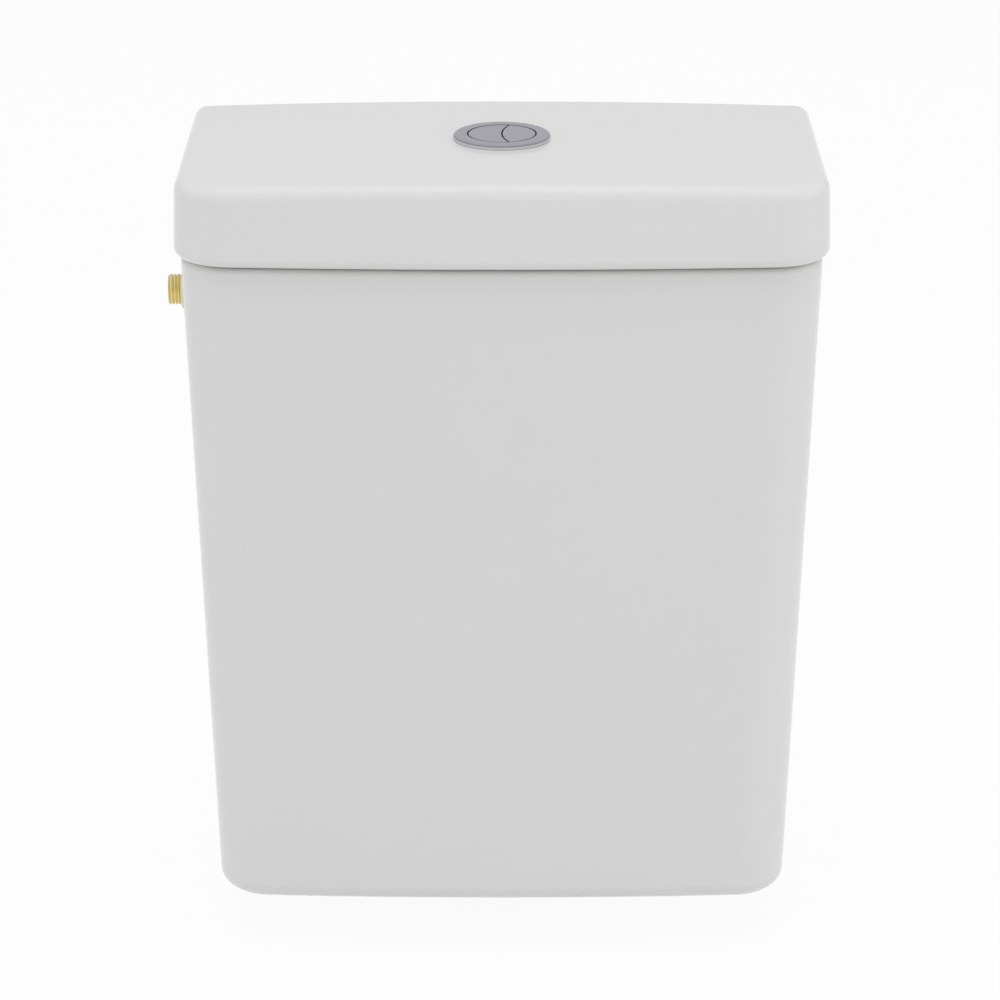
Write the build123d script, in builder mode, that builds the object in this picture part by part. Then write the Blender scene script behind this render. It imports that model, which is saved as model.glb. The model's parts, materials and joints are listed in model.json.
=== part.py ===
from build123d import *
import os
from math import asin, cos, degrees, hypot, radians, sin, sqrt, tan

os.makedirs("parts", exist_ok=True)

# Close-coupled toilet cistern with a push button in its lid and a water inlet on its left side.
# Origin on the outlet's axis in the plane of the foot. +Z is up, -Y is the front and +X is the
# right, seen from the front. All lengths are millimetres.

# Whole cistern
overall_height = 405.0
outlet_offset = 3.1  # the outlet's axis lies this far in front of the foot's middle
fit_gap = 0.35  # between pieces that move past each other
seat_gap = 0.1  # between round pieces that are fixed in each other
overrun = 1.0  # how far a cutter passes beyond a face
hexagon_sides = 6

# Lid
lid_width = 336.0
lid_depth = 180.0
lid_height = 44.5
lid_crown = 2.8
lid_draft = 1.35
lid_bow = 6.0
lid_front_corner = 30.4
lid_back_corner = 9.0
lid_top_round = 7.8
lid_foot_round = 4.6
lid_skirt = 8.0
lid_edge_thickness = 14.0
lid_recess_depth = 3.5
lid_recess_margin = 26.0
lid_hole_gap = 0.6

# Tank
tank_side_step = 3.2  # the lid stands out this far over each side
tank_front_step = 6.0  # and this far over the front
tank_side_taper = 11.7  # each side leans in this much from shoulder to foot
tank_front_taper = 10.2
tank_front_corner = 28.3
tank_back_corner = 10.0
tank_foot_round = 9.0
tank_shoulder_round = 3.2
tank_wall = 9.0
tank_inside_round = 8.0
inside_corner_least = 12.0  # where an inner corner would otherwise be tight
seam_gap = 1.5  # open joint between lid and shoulder
collar_gap = 3.0  # between the lid's skirt and the tank's collar
foot_recess = 12.0
foot_rim_width = 18.0
floor_thickness = 12.0
outlet_hole_gap = 3.0

# Rubber pads on the rim
pad_length = 18.0
pad_width = 5.0
pad_thickness = 2.0
pad_spacing = 80.0

# Bolts to the pan
bolt_spacing = 150.0
bolt_r = 4.0  # free threaded end
bolt_shank_r = 3.6  # reduced, from the head to the foot of the clamping nut
bolt_hole_r = 6.0
bolt_drop = 29.0  # free end below the foot
bolt_head_flats = 13.0
bolt_head_height = 5.3
bolt_rubber_r = 14.0
bolt_rubber_thickness = 3.0
bolt_steel_r = 12.0
bolt_steel_thickness = 1.6
bolt_nut_height = 6.5

# Outlet valve: base, gaskets and nut
outlet_bore_r = 25.0
outlet_tail_wall = 5.0
outlet_tail_drop = 13.0  # threaded length below the foot
spigot_step = 1.0
spigot_length = 7.0
base_gasket_thickness = 3.0
base_flange_thickness = 4.0
seat_width = 2.5
seat_height = 4.0
flow_gap = 6.5  # between the seal and its cage
cage_wall = 3.5
cage_height = 60.0
cage_windows = 4
cage_window_height = 46.0
cage_window_width = 40.0
flange_margin = 4.0
backnut_width = 10.0
backnut_height = 9.5
backnut_lugs = 8
backnut_lug_width = 8.0
coupling_gasket_width = 13.0

# Outlet valve: what rises
seal_thickness = 3.0
seal_overlap = 3.5
clamp_margin = 5.0
clamp_thickness = 6.0
overflow_r = 15.0
overflow_wall = 2.0
overflow_foot_r = 22.0
overflow_foot_thickness = 3.0
overflow_drop = 113.0  # from the lid's top to the tube's mouth
lift_rod_r = 2.5
lift_head_r = 4.8
lift_head_height = 3.0
lift_collar_wall = 4.0
lift_collar_height = 8.0
lift_collar_rise = 22.0  # above the seal's clamp
lift_arm_width = 8.0
kidney_float_height = 30.0
kidney_float_wall = 9.0
kidney_float_arc = 50.0  # degrees
kidney_float_drop = 81.0  # below the deck

# Outlet valve: tower
tower_foot_height = 4.0
tower_wall = 3.0
tower_margin = 2.9
tower_windows = 4
tower_window_width = 28.0
tower_window_gap = 12.0  # ring of the column left below and above a window
deck_thickness = 4.0
deck_plug = 3.0  # the deck reaches this far into the column
ear_rise = 40.0  # from the deck to the rockers' pin
ear_thickness = 3.5
ear_width = 13.0

# Rockers
push_rod_x = 9.0
pivot_y = 5.0
press_travel = 6.0
press_arm = 12.0
lift_arm = 20.0
rocker_nose_r = 3.0
rocker_web = 3.6
rocker_width = 12.0
rocker_hub_r = 5.5
rocker_clearance = 2.0
fork_depth = 2.0  # from a rod to the blind end of the fork that straddles it
rocker_pin_r = 2.5
running_gap = 0.05

# Push button
button_r = 17.65
button_ring_gap = 0.65
split_r = 41.0  # curve that parts the two buttons
split_gap = 0.5
cap_thickness = 4.5
cap_edge = 0.4
cap_tip = 0.8
stem_r = 3.2
stem_length = 34.0
stem_bore_depth = 11.0
bezel_r = 25.5
bezel_height = 2.5
bezel_edge = 1.6
bezel_skirt_wall = 1.7
bezel_skirt_length = 29.0
bezel_lip = 0.8
button_washer_thickness = 0.9
button_washer_margin = 0.5
button_locknut_width = 8.0
button_locknut_height = 7.0
button_locknut_sides = 8
carrier_top_gap = 1.0  # left under a pressed button
carrier_flange = 2.0
carrier_flange_height = 3.0
carrier_floor = 3.0
push_rod_r = 2.5
push_rod_spigot_r = 1.5
spring_wire_r = 0.4
spring_r = 4.2
spring_turns = 5
spring_wire_sides = 6
spring_samples = 24  # points on each half turn, where the gap is measured
pocket_gap = 0.6

# Side inlet and fill valve, along X
inlet_drop = 82.5  # from the lid's top to the inlet's axis
inlet_thread_r = 8.331
inlet_bore_r = 5.5
inlet_hole_gap = 1.3
inlet_landing_margin = 0.8  # round the corners of the nut
inlet_landing_depth = 3.0
inlet_landing_sink = 0.3  # the landings are cut this deep at their shallow edge
inlet_nut_flats = 27.0
inlet_nut_height = 5.3
inlet_nut_collar_r = 10.3
inlet_nut_collar = 1.4
inlet_thread_free = 7.1
inlet_groove = 0.6
inlet_groove_depth = 0.7
inlet_flange_r = 13.0
inlet_flange_thickness = 3.0
inlet_washer_thickness = 2.0
inlet_spigot_r = 9.0
inlet_spigot_length = 10.0
filter_wall = 0.8
filter_length = 16.0
fill_body_r = 13.0
fill_body_length = 26.0
fill_bore_r = 4.0
fill_rim_r = 16.5
fill_rim_thickness = 4.0
diaphragm_thickness = 2.0
fill_cap_length = 14.0
spout_share = 0.6  # how far along the body the spout stands
spout_r = 6.8
spout_wall = 1.5
spout_drop = 14.0
silencer_wall = 1.2
silencer_top_drop = 4.0
silencer_foot_gap = 22.0

# Float
float_arm_length = 28.0
float_arm_width = 12.0
float_pivot_rise = 24.0
float_pivot_share = 0.72
float_travel = 16.0
float_tail_arm = 8.0
float_hub_r = 5.0
float_nose_r = 3.0
float_web = 3.6
float_pin_r = 2.0
float_ear_thickness = 3.0
pilot_r = 1.5
float_rod_r = 2.5
float_head_r = 4.8
float_head_height = 3.0
float_adjuster_r = 5.0
float_adjuster_height = 4.5
float_guide_r = 6.5
float_guide_height = 7.0
float_cup_r = 17.0
float_cup_wall = 1.5
float_cup_height = 50.0
float_cup_drop = 73.5  # from the inlet's axis to the cup's top

# Heights and places that follow from the sizes above
back_y = (lid_depth - tank_front_step - tank_front_taper) / 2 + outlet_offset
inlet_z = overall_height - inlet_drop
overflow_top_z = overall_height - overflow_drop
float_cup_top_z = inlet_z - float_cup_drop
lid_foot_z = overall_height - lid_height
lid_front = lid_depth - back_y
lid_half = lid_width / 2
shoulder_z = lid_foot_z - seam_gap
ledge_z = overall_height - lid_edge_thickness
rim_z = ledge_z - pad_thickness
recess_z = ledge_z + lid_recess_depth
floor_z = foot_recess + floor_thickness
collar_inset = lid_skirt + collar_gap

tank_half_top = lid_half - tank_side_step
tank_half_foot = tank_half_top - tank_side_taper
tank_front_foot = lid_front - tank_front_step - tank_front_taper

outlet_tail_r = outlet_bore_r + outlet_tail_wall
outlet_hole_r = outlet_tail_r + outlet_hole_gap
seat_r = outlet_bore_r + seat_width
seal_r = seat_r + seal_overlap
cage_bore_r = seal_r + flow_gap
cage_r = cage_bore_r + cage_wall
flange_r = cage_r + flange_margin
flange_z = floor_z + base_gasket_thickness
flange_top_z = flange_z + base_flange_thickness
seat_z = flange_top_z + seat_height
cage_top_z = flange_top_z + cage_height
clamp_z = seat_z + seal_thickness
clamp_top_z = clamp_z + clamp_thickness

lift_rod_y = pivot_y + lift_arm
push_rod_y = pivot_y - press_arm
lift_travel = press_travel * lift_arm / press_arm
rocker_swing = asin(press_travel / 2 / press_arm)  # radians, each way from level
pivot_z = overflow_top_z + lift_travel + press_travel / 2 + rocker_nose_r + rocker_clearance
push_rod_foot_z = pivot_z + press_travel / 2 + rocker_nose_r + fit_gap
lift_head_z = pivot_z - lift_travel / 2 + rocker_nose_r + fit_gap
hub_half_span = push_rod_x + rocker_width / 2 + fit_gap

tower_bore_r = hypot(push_rod_x, lift_rod_y) + lift_rod_r + tower_margin
tower_r = tower_bore_r + tower_wall
tower_foot_top_z = cage_top_z + tower_foot_height
deck_top_z = pivot_z - ear_rise
deck_z = deck_top_z - deck_thickness

bezel_bore_r = button_r + button_ring_gap
bezel_skirt_r = bezel_bore_r + bezel_skirt_wall
lid_hole_r = bezel_skirt_r + lid_hole_gap
bezel_foot_z = overall_height - bezel_skirt_length
button_top_z = overall_height + bezel_height
cap_z = button_top_z - cap_thickness
carrier_top_z = cap_z - press_travel - carrier_top_gap
carrier_foot_z = bezel_foot_z - carrier_flange_height
pocket_z = carrier_foot_z + carrier_floor
stem_foot_z = cap_z - stem_length

inlet_landing_r = inlet_nut_flats / sqrt(3) + inlet_landing_margin
inlet_low_half = tank_half_foot + tank_side_taper * (inlet_z - inlet_landing_r) / shoulder_z
inlet_high_half = tank_half_foot + tank_side_taper * (inlet_z + inlet_landing_r) / shoulder_z
inlet_outer_x = inlet_landing_sink - inlet_low_half
inlet_inner_x = tank_wall - inlet_high_half - inlet_landing_sink
inlet_nut_x = inlet_outer_x - inlet_nut_height - inlet_nut_collar
inlet_end_x = inlet_nut_x - inlet_thread_free
inlet_flange_x = inlet_inner_x + inlet_washer_thickness
fill_body_x = inlet_flange_x + inlet_flange_thickness
fill_end_x = fill_body_x + fill_body_length
fill_cap_x = fill_end_x + diaphragm_thickness
fill_cap_end_x = fill_cap_x + fill_cap_length
spout_x = fill_body_x + fill_body_length * spout_share
spout_foot_z = inlet_z - fill_body_r - spout_drop
silencer_r = spout_r + seat_gap + silencer_wall

float_swing = asin(float_travel / 2 / float_arm_length)  # radians, each way from level
float_pivot_x = fill_cap_x + fill_cap_length * float_pivot_share
float_pivot_z = inlet_z + float_pivot_rise
float_rod_x = float_pivot_x + float_arm_length
float_nose_z = float_pivot_z - float_travel / 2
float_head_z = float_nose_z + float_nose_r + fit_gap
float_adjuster_z = float_nose_z - float_nose_r - fit_gap - float_adjuster_height
pilot_x = float_pivot_x - float_tail_arm
pilot_top_z = float_pivot_z - float_tail_arm * sin(float_swing) - float_nose_r - fit_gap


def plan_outline(z, half_width, front, back, bow, front_corner, back_corner):
    """Plan section at one height, with a flat back, a bowed front and rounded corners."""
    side_front = bow - front
    with BuildSketch(Plane.XY.offset(z)) as section:
        with BuildLine():
            ThreePointArc((-half_width, side_front), (0, -front), (half_width, side_front))
            Polyline(
                (half_width, side_front),
                (half_width, back),
                (-half_width, back),
                (-half_width, side_front),
            )
        make_face()
        fillet(section.vertices().sort_by(Axis.Y)[:2], front_corner)
        if back_corner:
            fillet(section.vertices().group_by(Axis.Y)[-1], back_corner)
    return section.sketch


def inside_corner(corner, inset):
    """Corner of a line drawn inside another one at a distance."""
    return corner - inset if corner > 2 * inset else inside_corner_least


def climbing_edges(form):
    """Edges that leave their plan plane, from front to back."""
    return form.edges().filter_by(lambda edge: edge.bounding_box().size.Z > overrun).sort_by(Axis.Y)


def tank_form(foot_z, top_z, inset=0):
    """Solid between two heights whose sides and front lean like the tank's, inside it by inset."""
    rise = foot_z / shoulder_z
    half = tank_half_foot + tank_side_taper * rise - inset
    front = tank_front_foot + tank_front_taper * rise - inset
    lean = Vector(0, -tank_front_taper / shoulder_z, 1)
    with BuildPart() as form:
        with BuildSketch(Plane.XY.offset(foot_z)):
            with BuildLine():
                ThreePointArc((-lid_half, lid_bow - front), (0, -front), (lid_half, lid_bow - front))
                Polyline(
                    (lid_half, lid_bow - front),
                    (lid_half, lid_depth),
                    (-lid_half, lid_depth),
                    (-lid_half, lid_bow - front),
                )
            make_face()
        extrude(amount=(top_z - foot_z) * lean.length, dir=lean)
        split(bisect_by=Plane.XZ.offset(inset - back_y))
        for side in (-1, 1):
            slope = (side * shoulder_z, 0, -tank_side_taper)
            wall = Plane(origin=(side * half, 0, foot_z), x_dir=(0, 1, 0), z_dir=slope)
            split(bisect_by=wall, keep=Keep.BOTTOM)
        fillet(climbing_edges(form)[:2], inside_corner(tank_front_corner, inset))
        fillet(climbing_edges(form)[-2:], inside_corner(tank_back_corner, inset))
    return form.part


def lid_section(z, inset=0):
    """Plan section of the lid's outer form, or of a form that lies inside it."""
    return plan_outline(
        z,
        lid_half - inset,
        lid_front - inset,
        back_y - inset,
        lid_bow,
        inside_corner(lid_front_corner, inset),
        inside_corner(lid_back_corner, inset),
    )


# The hollow of the tank, up to its neck
with BuildPart() as cavity:
    add(tank_form(floor_z, shoulder_z - tank_wall, tank_wall))
    fillet(cavity.faces().sort_by(Axis.Z)[0].edges(), tank_inside_round)

# Tank: a tapered ceramic shell whose rim is stepped in to pass inside the lid
with BuildPart() as tank:
    add(tank_form(0, shoulder_z))
    fillet(tank.faces().sort_by(Axis.Z)[0].edges(), tank_foot_round)
    fillet(tank.faces().sort_by(Axis.Z)[-1].edges(), tank_shoulder_round)
    extrude(lid_section(shoulder_z, collar_inset), amount=rim_z - shoulder_z)
    add(cavity.part, mode=Mode.SUBTRACT)
    extrude(
        lid_section(shoulder_z - tank_wall, collar_inset + tank_wall),
        amount=rim_z - shoulder_z + tank_wall + overrun,
        mode=Mode.SUBTRACT,
    )
    add(tank_form(0, foot_recess, foot_rim_width), mode=Mode.SUBTRACT)
    with Locations((0, 0, floor_z)):
        Hole(outlet_hole_r, depth=floor_thickness + overrun)
        with GridLocations(bolt_spacing, 0, 2, 1):
            Hole(bolt_hole_r, depth=floor_thickness + overrun)
    # Flat landings for the inlet's nut and washer, square to the inlet on the leaning wall
    with BuildSketch(Plane.YZ.offset(inlet_outer_x)):
        with Locations((0, inlet_z)):
            Circle(inlet_landing_r)
    extrude(amount=-inlet_landing_depth, mode=Mode.SUBTRACT)
    with BuildSketch(Plane.YZ.offset(inlet_inner_x)):
        with Locations((0, inlet_z)):
            Circle(inlet_landing_r)
    extrude(amount=inlet_landing_depth, mode=Mode.SUBTRACT)
    with BuildSketch(Plane.YZ.offset(inlet_outer_x - overrun)):
        with Locations((0, inlet_z)):
            Circle(inlet_thread_r + inlet_hole_gap)
    extrude(amount=inlet_inner_x - inlet_outer_x + 2 * overrun, mode=Mode.SUBTRACT)
tank.part.label = "tank"
export_step(tank.part, "parts/tank.step")

# Lid: crowned from side to side, with a deep skirt and a thinner middle
with BuildPart() as lid:
    loft([lid_section(lid_foot_z), lid_section(overall_height, lid_draft)], ruled=True)
    with BuildSketch(Plane.XZ):
        with BuildLine():
            ThreePointArc(
                (-lid_half, overall_height - lid_crown),
                (0, overall_height),
                (lid_half, overall_height - lid_crown),
            )
            Polyline(
                (lid_half, overall_height - lid_crown),
                (lid_half, lid_foot_z),
                (-lid_half, lid_foot_z),
                (-lid_half, overall_height - lid_crown),
            )
        make_face()
    extrude(amount=lid_depth, both=True, mode=Mode.INTERSECT)
    fillet(lid.faces().sort_by(Axis.Z)[-1].edges(), lid_top_round)
    fillet(lid.faces().sort_by(Axis.Z)[0].edges(), lid_foot_round)
    extrude(lid_section(lid_foot_z, lid_skirt), amount=ledge_z - lid_foot_z, mode=Mode.SUBTRACT)
    extrude(
        lid_section(ledge_z, lid_skirt + lid_recess_margin),
        amount=lid_recess_depth,
        mode=Mode.SUBTRACT,
    )
    with Locations((0, 0, overall_height)):
        Hole(lid_hole_r, depth=lid_edge_thickness + overrun)
lid.part.label = "lid"
export_step(lid.part, "parts/lid.step")

# Four pads that the lid rests on
with BuildPart() as lid_pads:
    with BuildSketch(Plane.XY.offset(rim_z)):
        with GridLocations(2 * (lid_half - collar_inset - tank_wall / 2), pad_spacing, 2, 2):
            Rectangle(pad_width, pad_length)
    extrude(amount=pad_thickness)
lid_pads.part.label = "lid_pads"
export_step(lid_pads.part, "parts/lid_pads.step")

# Bezel: a ring that stands on the lid, with a threaded skirt through the lid's hole
with BuildPart() as button_bezel:
    with BuildSketch(Plane.XZ):
        with BuildLine():
            Polyline(
                (bezel_bore_r, bezel_foot_z),
                (bezel_skirt_r, bezel_foot_z),
                (bezel_skirt_r, overall_height + button_washer_thickness),
                (bezel_r - bezel_lip, overall_height + button_washer_thickness),
                (bezel_r - bezel_lip, overall_height + seat_gap),
                (bezel_r, overall_height + seat_gap),
                (bezel_r, button_top_z - bezel_edge),
            )
            RadiusArc(
                (bezel_r, button_top_z - bezel_edge),
                (bezel_r - bezel_edge, button_top_z),
                -bezel_edge,
            )
            Polyline(
                (bezel_r - bezel_edge, button_top_z),
                (bezel_bore_r, button_top_z),
                (bezel_bore_r, bezel_foot_z),
            )
        make_face()
    revolve(axis=Axis.Z)
button_bezel.part.label = "button_bezel"
export_step(button_bezel.part, "parts/button_bezel.step")

with BuildPart() as button_washer:
    with BuildSketch(Plane.XY.offset(overall_height)):
        Circle(bezel_r - bezel_lip - button_washer_margin)
        Circle(lid_hole_r, mode=Mode.SUBTRACT)
    extrude(amount=button_washer_thickness)
button_washer.part.label = "button_washer"
export_step(button_washer.part, "parts/button_washer.step")

# Locknut under the lid
with BuildPart() as button_locknut:
    with BuildSketch(Plane.XY.offset(recess_z)):
        RegularPolygon(bezel_skirt_r + button_locknut_width, button_locknut_sides, major_radius=False)
        Circle(bezel_skirt_r + seat_gap, mode=Mode.SUBTRACT)
    extrude(amount=-button_locknut_height)
button_locknut.part.label = "button_locknut"
export_step(button_locknut.part, "parts/button_locknut.step")

# Carrier: a plug in the bezel's bore that guides both stems and holds their springs
with BuildPart() as button_carrier:
    with BuildSketch(Plane.XY.offset(carrier_foot_z)):
        Circle(bezel_skirt_r + carrier_flange)
    extrude(amount=carrier_flange_height)
    with BuildSketch(Plane.XY.offset(bezel_foot_z)):
        Circle(bezel_bore_r - seat_gap)
    extrude(amount=carrier_top_z - bezel_foot_z)
    with Locations((0, push_rod_y, carrier_top_z)):
        with GridLocations(2 * push_rod_x, 0, 2, 1):
            Hole(spring_r + spring_wire_r + pocket_gap, depth=carrier_top_z - pocket_z)
            Hole(stem_r + fit_gap, depth=carrier_top_z - carrier_foot_z + overrun)
button_carrier.part.label = "button_carrier"
export_step(button_carrier.part, "parts/button_carrier.step")


def button(side):
    """One of the two buttons with its stem. side is -1 for the left one and 1 for the right one."""
    with BuildPart() as piece:
        with BuildSketch(Plane.XY.offset(cap_z)):
            Circle(button_r)
            with Locations((split_r, 0)):
                if side < 0:
                    Circle(split_r + split_gap / 2, mode=Mode.SUBTRACT)
                else:
                    Circle(split_r - split_gap / 2, mode=Mode.INTERSECT)
        extrude(amount=cap_thickness)
        fillet(piece.edges().filter_by(Axis.Z), cap_tip)
        fillet(piece.faces().sort_by(Axis.Z)[-1].edges(), cap_edge)
        with BuildSketch(Plane.XY.offset(stem_foot_z)):
            with Locations((side * push_rod_x, push_rod_y)):
                Circle(stem_r)
        extrude(amount=stem_length)
        with BuildSketch(Plane.XY.offset(stem_foot_z)):
            with Locations((side * push_rod_x, push_rod_y)):
                Circle(push_rod_spigot_r + seat_gap)
        extrude(amount=stem_bore_depth, mode=Mode.SUBTRACT)
    return piece


def push_rod(side):
    """Rod below a button's stem, with a spigot that screws into the stem."""
    with BuildPart() as piece:
        with BuildSketch(Plane.XY.offset(push_rod_foot_z)):
            with Locations((side * push_rod_x, push_rod_y)):
                Circle(push_rod_r)
        extrude(amount=stem_foot_z - push_rod_foot_z)
        with BuildSketch(Plane.XY.offset(stem_foot_z)):
            with Locations((side * push_rod_x, push_rod_y)):
                Circle(push_rod_spigot_r)
        extrude(amount=stem_bore_depth - overrun)
    return piece


def arc_middle(start, end, direction):
    """Middle of the arc that leaves start along direction and reaches end."""
    chord = end - start
    along = chord.normalized()
    outward = (direction - along * direction.dot(along)).normalized()
    turn = radians(direction.get_angle(along))
    return start + chord / 2 + outward * (chord.length / 2 * tan(turn / 2))


def button_spring(side):
    """Coil spring round a stem: one wire, drawn with a pair of tangent arcs for each half turn."""
    rise = (cap_z - pocket_z - 2 * spring_wire_r) / (2 * spring_turns)
    climb = rise / (spring_r * radians(180))
    low = pocket_z + spring_wire_r
    points, directions = [], []
    for half_turn in range(2 * spring_turns + 1):
        away = 1 if half_turn % 2 == 0 else -1
        points.append(Vector(side * push_rod_x + away * spring_r, push_rod_y, low + half_turn * rise))
        directions.append(Vector(0, away, climb).normalized())
    with BuildPart() as piece:
        with BuildLine() as wire:
            for start, end, out, back in zip(points, points[1:], directions, directions[1:]):
                span = end - start
                both = span.dot(out + back)
                spread = 2 * (1 - out.dot(back))
                reach = ((both**2 + spread * span.dot(span)) ** 0.5 - both) / spread
                joint = (start + end + (out - back) * reach) / 2
                ThreePointArc(start, arc_middle(start, joint, out), joint)
                ThreePointArc(joint, arc_middle(end, joint, back * -1), end)
        with BuildSketch(Plane(origin=wire.line @ 0, z_dir=wire.line % 0)):
            RegularPolygon(spring_wire_r, spring_wire_sides)
        sweep()
    steps = 2 * spring_turns * spring_samples
    along = [wire.line @ (step / steps) for step in range(steps + 1)]
    apart = [(a - b).length for i, a in enumerate(along) for b in along[i + spring_samples :]]
    print("spring: least gap between turns", round(min(apart) - 2 * spring_wire_r, 3))
    return piece


full_flush_button = button(-1)
full_flush_button.part.label = "full_flush_button"
export_step(full_flush_button.part, "parts/full_flush_button.step")

half_flush_button = button(1)
half_flush_button.part.label = "half_flush_button"
export_step(half_flush_button.part, "parts/half_flush_button.step")

full_push_rod = push_rod(-1)
full_push_rod.part.label = "full_push_rod"
export_step(full_push_rod.part, "parts/full_push_rod.step")

half_push_rod = push_rod(1)
half_push_rod.part.label = "half_push_rod"
export_step(half_push_rod.part, "parts/half_push_rod.step")

full_button_spring = button_spring(-1)
full_button_spring.part.label = "full_button_spring"
export_step(full_button_spring.part, "parts/full_button_spring.step")

half_button_spring = button_spring(1)
half_button_spring.part.label = "half_button_spring"
export_step(half_button_spring.part, "parts/half_button_spring.step")

# Outlet valve's base: threaded tail, flange and raised seat
with BuildPart() as valve_base:
    with BuildSketch(Plane.XZ):
        with BuildLine():
            Polyline(
                (outlet_bore_r, -outlet_tail_drop - spigot_length),
                (outlet_tail_r - spigot_step, -outlet_tail_drop - spigot_length),
                (outlet_tail_r - spigot_step, -outlet_tail_drop),
                (outlet_tail_r, -outlet_tail_drop),
                (outlet_tail_r, flange_z),
                (flange_r, flange_z),
                (flange_r, flange_top_z),
                (seat_r, flange_top_z),
                (seat_r, seat_z),
                (outlet_bore_r, seat_z),
                close=True,
            )
        make_face()
    revolve(axis=Axis.Z)
valve_base.part.label = "valve_base"
export_step(valve_base.part, "parts/valve_base.step")

# Cage: a ring on legs that stand on the flange, with the water's way in between them
with BuildPart() as valve_cage:
    with BuildSketch(Plane.XY.offset(flange_top_z)):
        Circle(cage_r)
        Circle(cage_bore_r, mode=Mode.SUBTRACT)
    extrude(amount=cage_height)
    with Locations((0, 0, flange_top_z + (cage_window_height - overrun) / 2)):
        with PolarLocations(cage_r, cage_windows):
            Box(2 * flow_gap, cage_window_width, cage_window_height + overrun, mode=Mode.SUBTRACT)
valve_cage.part.label = "valve_cage"
export_step(valve_cage.part, "parts/valve_cage.step")

with BuildPart() as base_gasket:
    with BuildSketch(Plane.XY.offset(floor_z)):
        Circle(flange_r)
        Circle(outlet_tail_r + seat_gap, mode=Mode.SUBTRACT)
    extrude(amount=base_gasket_thickness)
base_gasket.part.label = "base_gasket"
export_step(base_gasket.part, "parts/base_gasket.step")

# Large nut that clamps the valve to the tank's floor from below
with BuildPart() as outlet_backnut:
    with BuildSketch(Plane.XY.offset(foot_recess)):
        Circle(outlet_tail_r + backnut_width)
        with PolarLocations(outlet_tail_r + backnut_width, backnut_lugs):
            Rectangle(backnut_lug_width, backnut_lug_width)
        Circle(outlet_tail_r + seat_gap, mode=Mode.SUBTRACT)
    extrude(amount=-backnut_height)
outlet_backnut.part.label = "outlet_backnut"
export_step(outlet_backnut.part, "parts/outlet_backnut.step")

# Rubber ring that seals the tank to the pan
with BuildPart() as coupling_gasket:
    with BuildSketch(Plane.XY.offset(-outlet_tail_drop)):
        Circle(outlet_tail_r + coupling_gasket_width)
        Circle(outlet_tail_r + fit_gap, mode=Mode.SUBTRACT)
    extrude(amount=outlet_tail_drop + foot_recess - backnut_height)
coupling_gasket.part.label = "coupling_gasket"
export_step(coupling_gasket.part, "parts/coupling_gasket.step")

# Tower: a windowed column that stands on the cage
with BuildPart() as valve_tower:
    with BuildSketch(Plane.XZ):
        with BuildLine():
            Polyline(
                (tower_bore_r, cage_top_z),
                (cage_r, cage_top_z),
                (cage_r, tower_foot_top_z),
                (tower_r, tower_foot_top_z),
                (tower_r, deck_z),
                (tower_bore_r, deck_z),
                close=True,
            )
        make_face()
    revolve(axis=Axis.Z)
    tower_window_height = deck_z - tower_foot_top_z - 2 * tower_window_gap
    with Locations((0, 0, (tower_foot_top_z + deck_z) / 2)):
        with PolarLocations(tower_r, tower_windows):
            Box(4 * tower_wall, tower_window_width, tower_window_height, mode=Mode.SUBTRACT)
valve_tower.part.label = "valve_tower"
export_step(valve_tower.part, "parts/valve_tower.step")

# Deck: plugs the column, guides the tube and both lift rods, and carries the rockers' ears
with BuildPart() as tower_deck:
    with BuildSketch(Plane.XY.offset(deck_z)):
        Circle(tower_r)
    extrude(amount=deck_thickness)
    with BuildSketch(Plane.XY.offset(deck_z)):
        Circle(tower_bore_r - seat_gap)
    extrude(amount=-deck_plug)
    with Locations((0, 0, deck_top_z)):
        Hole(overflow_r + fit_gap, depth=deck_thickness + deck_plug + overrun)
    with Locations((0, lift_rod_y, deck_top_z)):
        with GridLocations(2 * push_rod_x, 0, 2, 1):
            Hole(lift_rod_r + fit_gap, depth=deck_thickness + deck_plug + overrun)
    for side in (-1, 1):
        with BuildSketch(Plane.YZ.offset(side * hub_half_span)):
            with Locations((pivot_y, (pivot_z + deck_top_z) / 2)):
                Rectangle(ear_width, pivot_z - deck_top_z)
            with Locations((pivot_y, pivot_z)):
                Circle(ear_width / 2)
                Circle(rocker_pin_r + running_gap, mode=Mode.SUBTRACT)
        extrude(amount=side * ear_thickness)
tower_deck.part.label = "tower_deck"
export_step(tower_deck.part, "parts/tower_deck.step")

with BuildPart() as rocker_pin:
    with BuildSketch(Plane.YZ.offset(-hub_half_span - ear_thickness)):
        with Locations((pivot_y, pivot_z)):
            Circle(rocker_pin_r)
    extrude(amount=2 * (hub_half_span + ear_thickness))
rocker_pin.part.label = "rocker_pin"
export_step(rocker_pin.part, "parts/rocker_pin.step")

# Overflow tube: rises with the seal and carries the water away if the tank overfills
with BuildPart() as overflow_tube:
    with BuildSketch(Plane.XZ):
        with BuildLine():
            Polyline(
                (overflow_r - overflow_wall, seat_z - overflow_foot_thickness),
                (overflow_foot_r, seat_z - overflow_foot_thickness),
                (overflow_foot_r, seat_z),
                (overflow_r, seat_z),
                (overflow_r, overflow_top_z),
                (overflow_r - overflow_wall, overflow_top_z),
                close=True,
            )
        make_face()
    revolve(axis=Axis.Z)
overflow_tube.part.label = "overflow_tube"
export_step(overflow_tube.part, "parts/overflow_tube.step")

with BuildPart() as flush_seal:
    with BuildSketch(Plane.XY.offset(seat_z)):
        Circle(seal_r)
        Circle(overflow_r + seat_gap, mode=Mode.SUBTRACT)
    extrude(amount=seal_thickness)
flush_seal.part.label = "flush_seal"
export_step(flush_seal.part, "parts/flush_seal.step")

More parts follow.
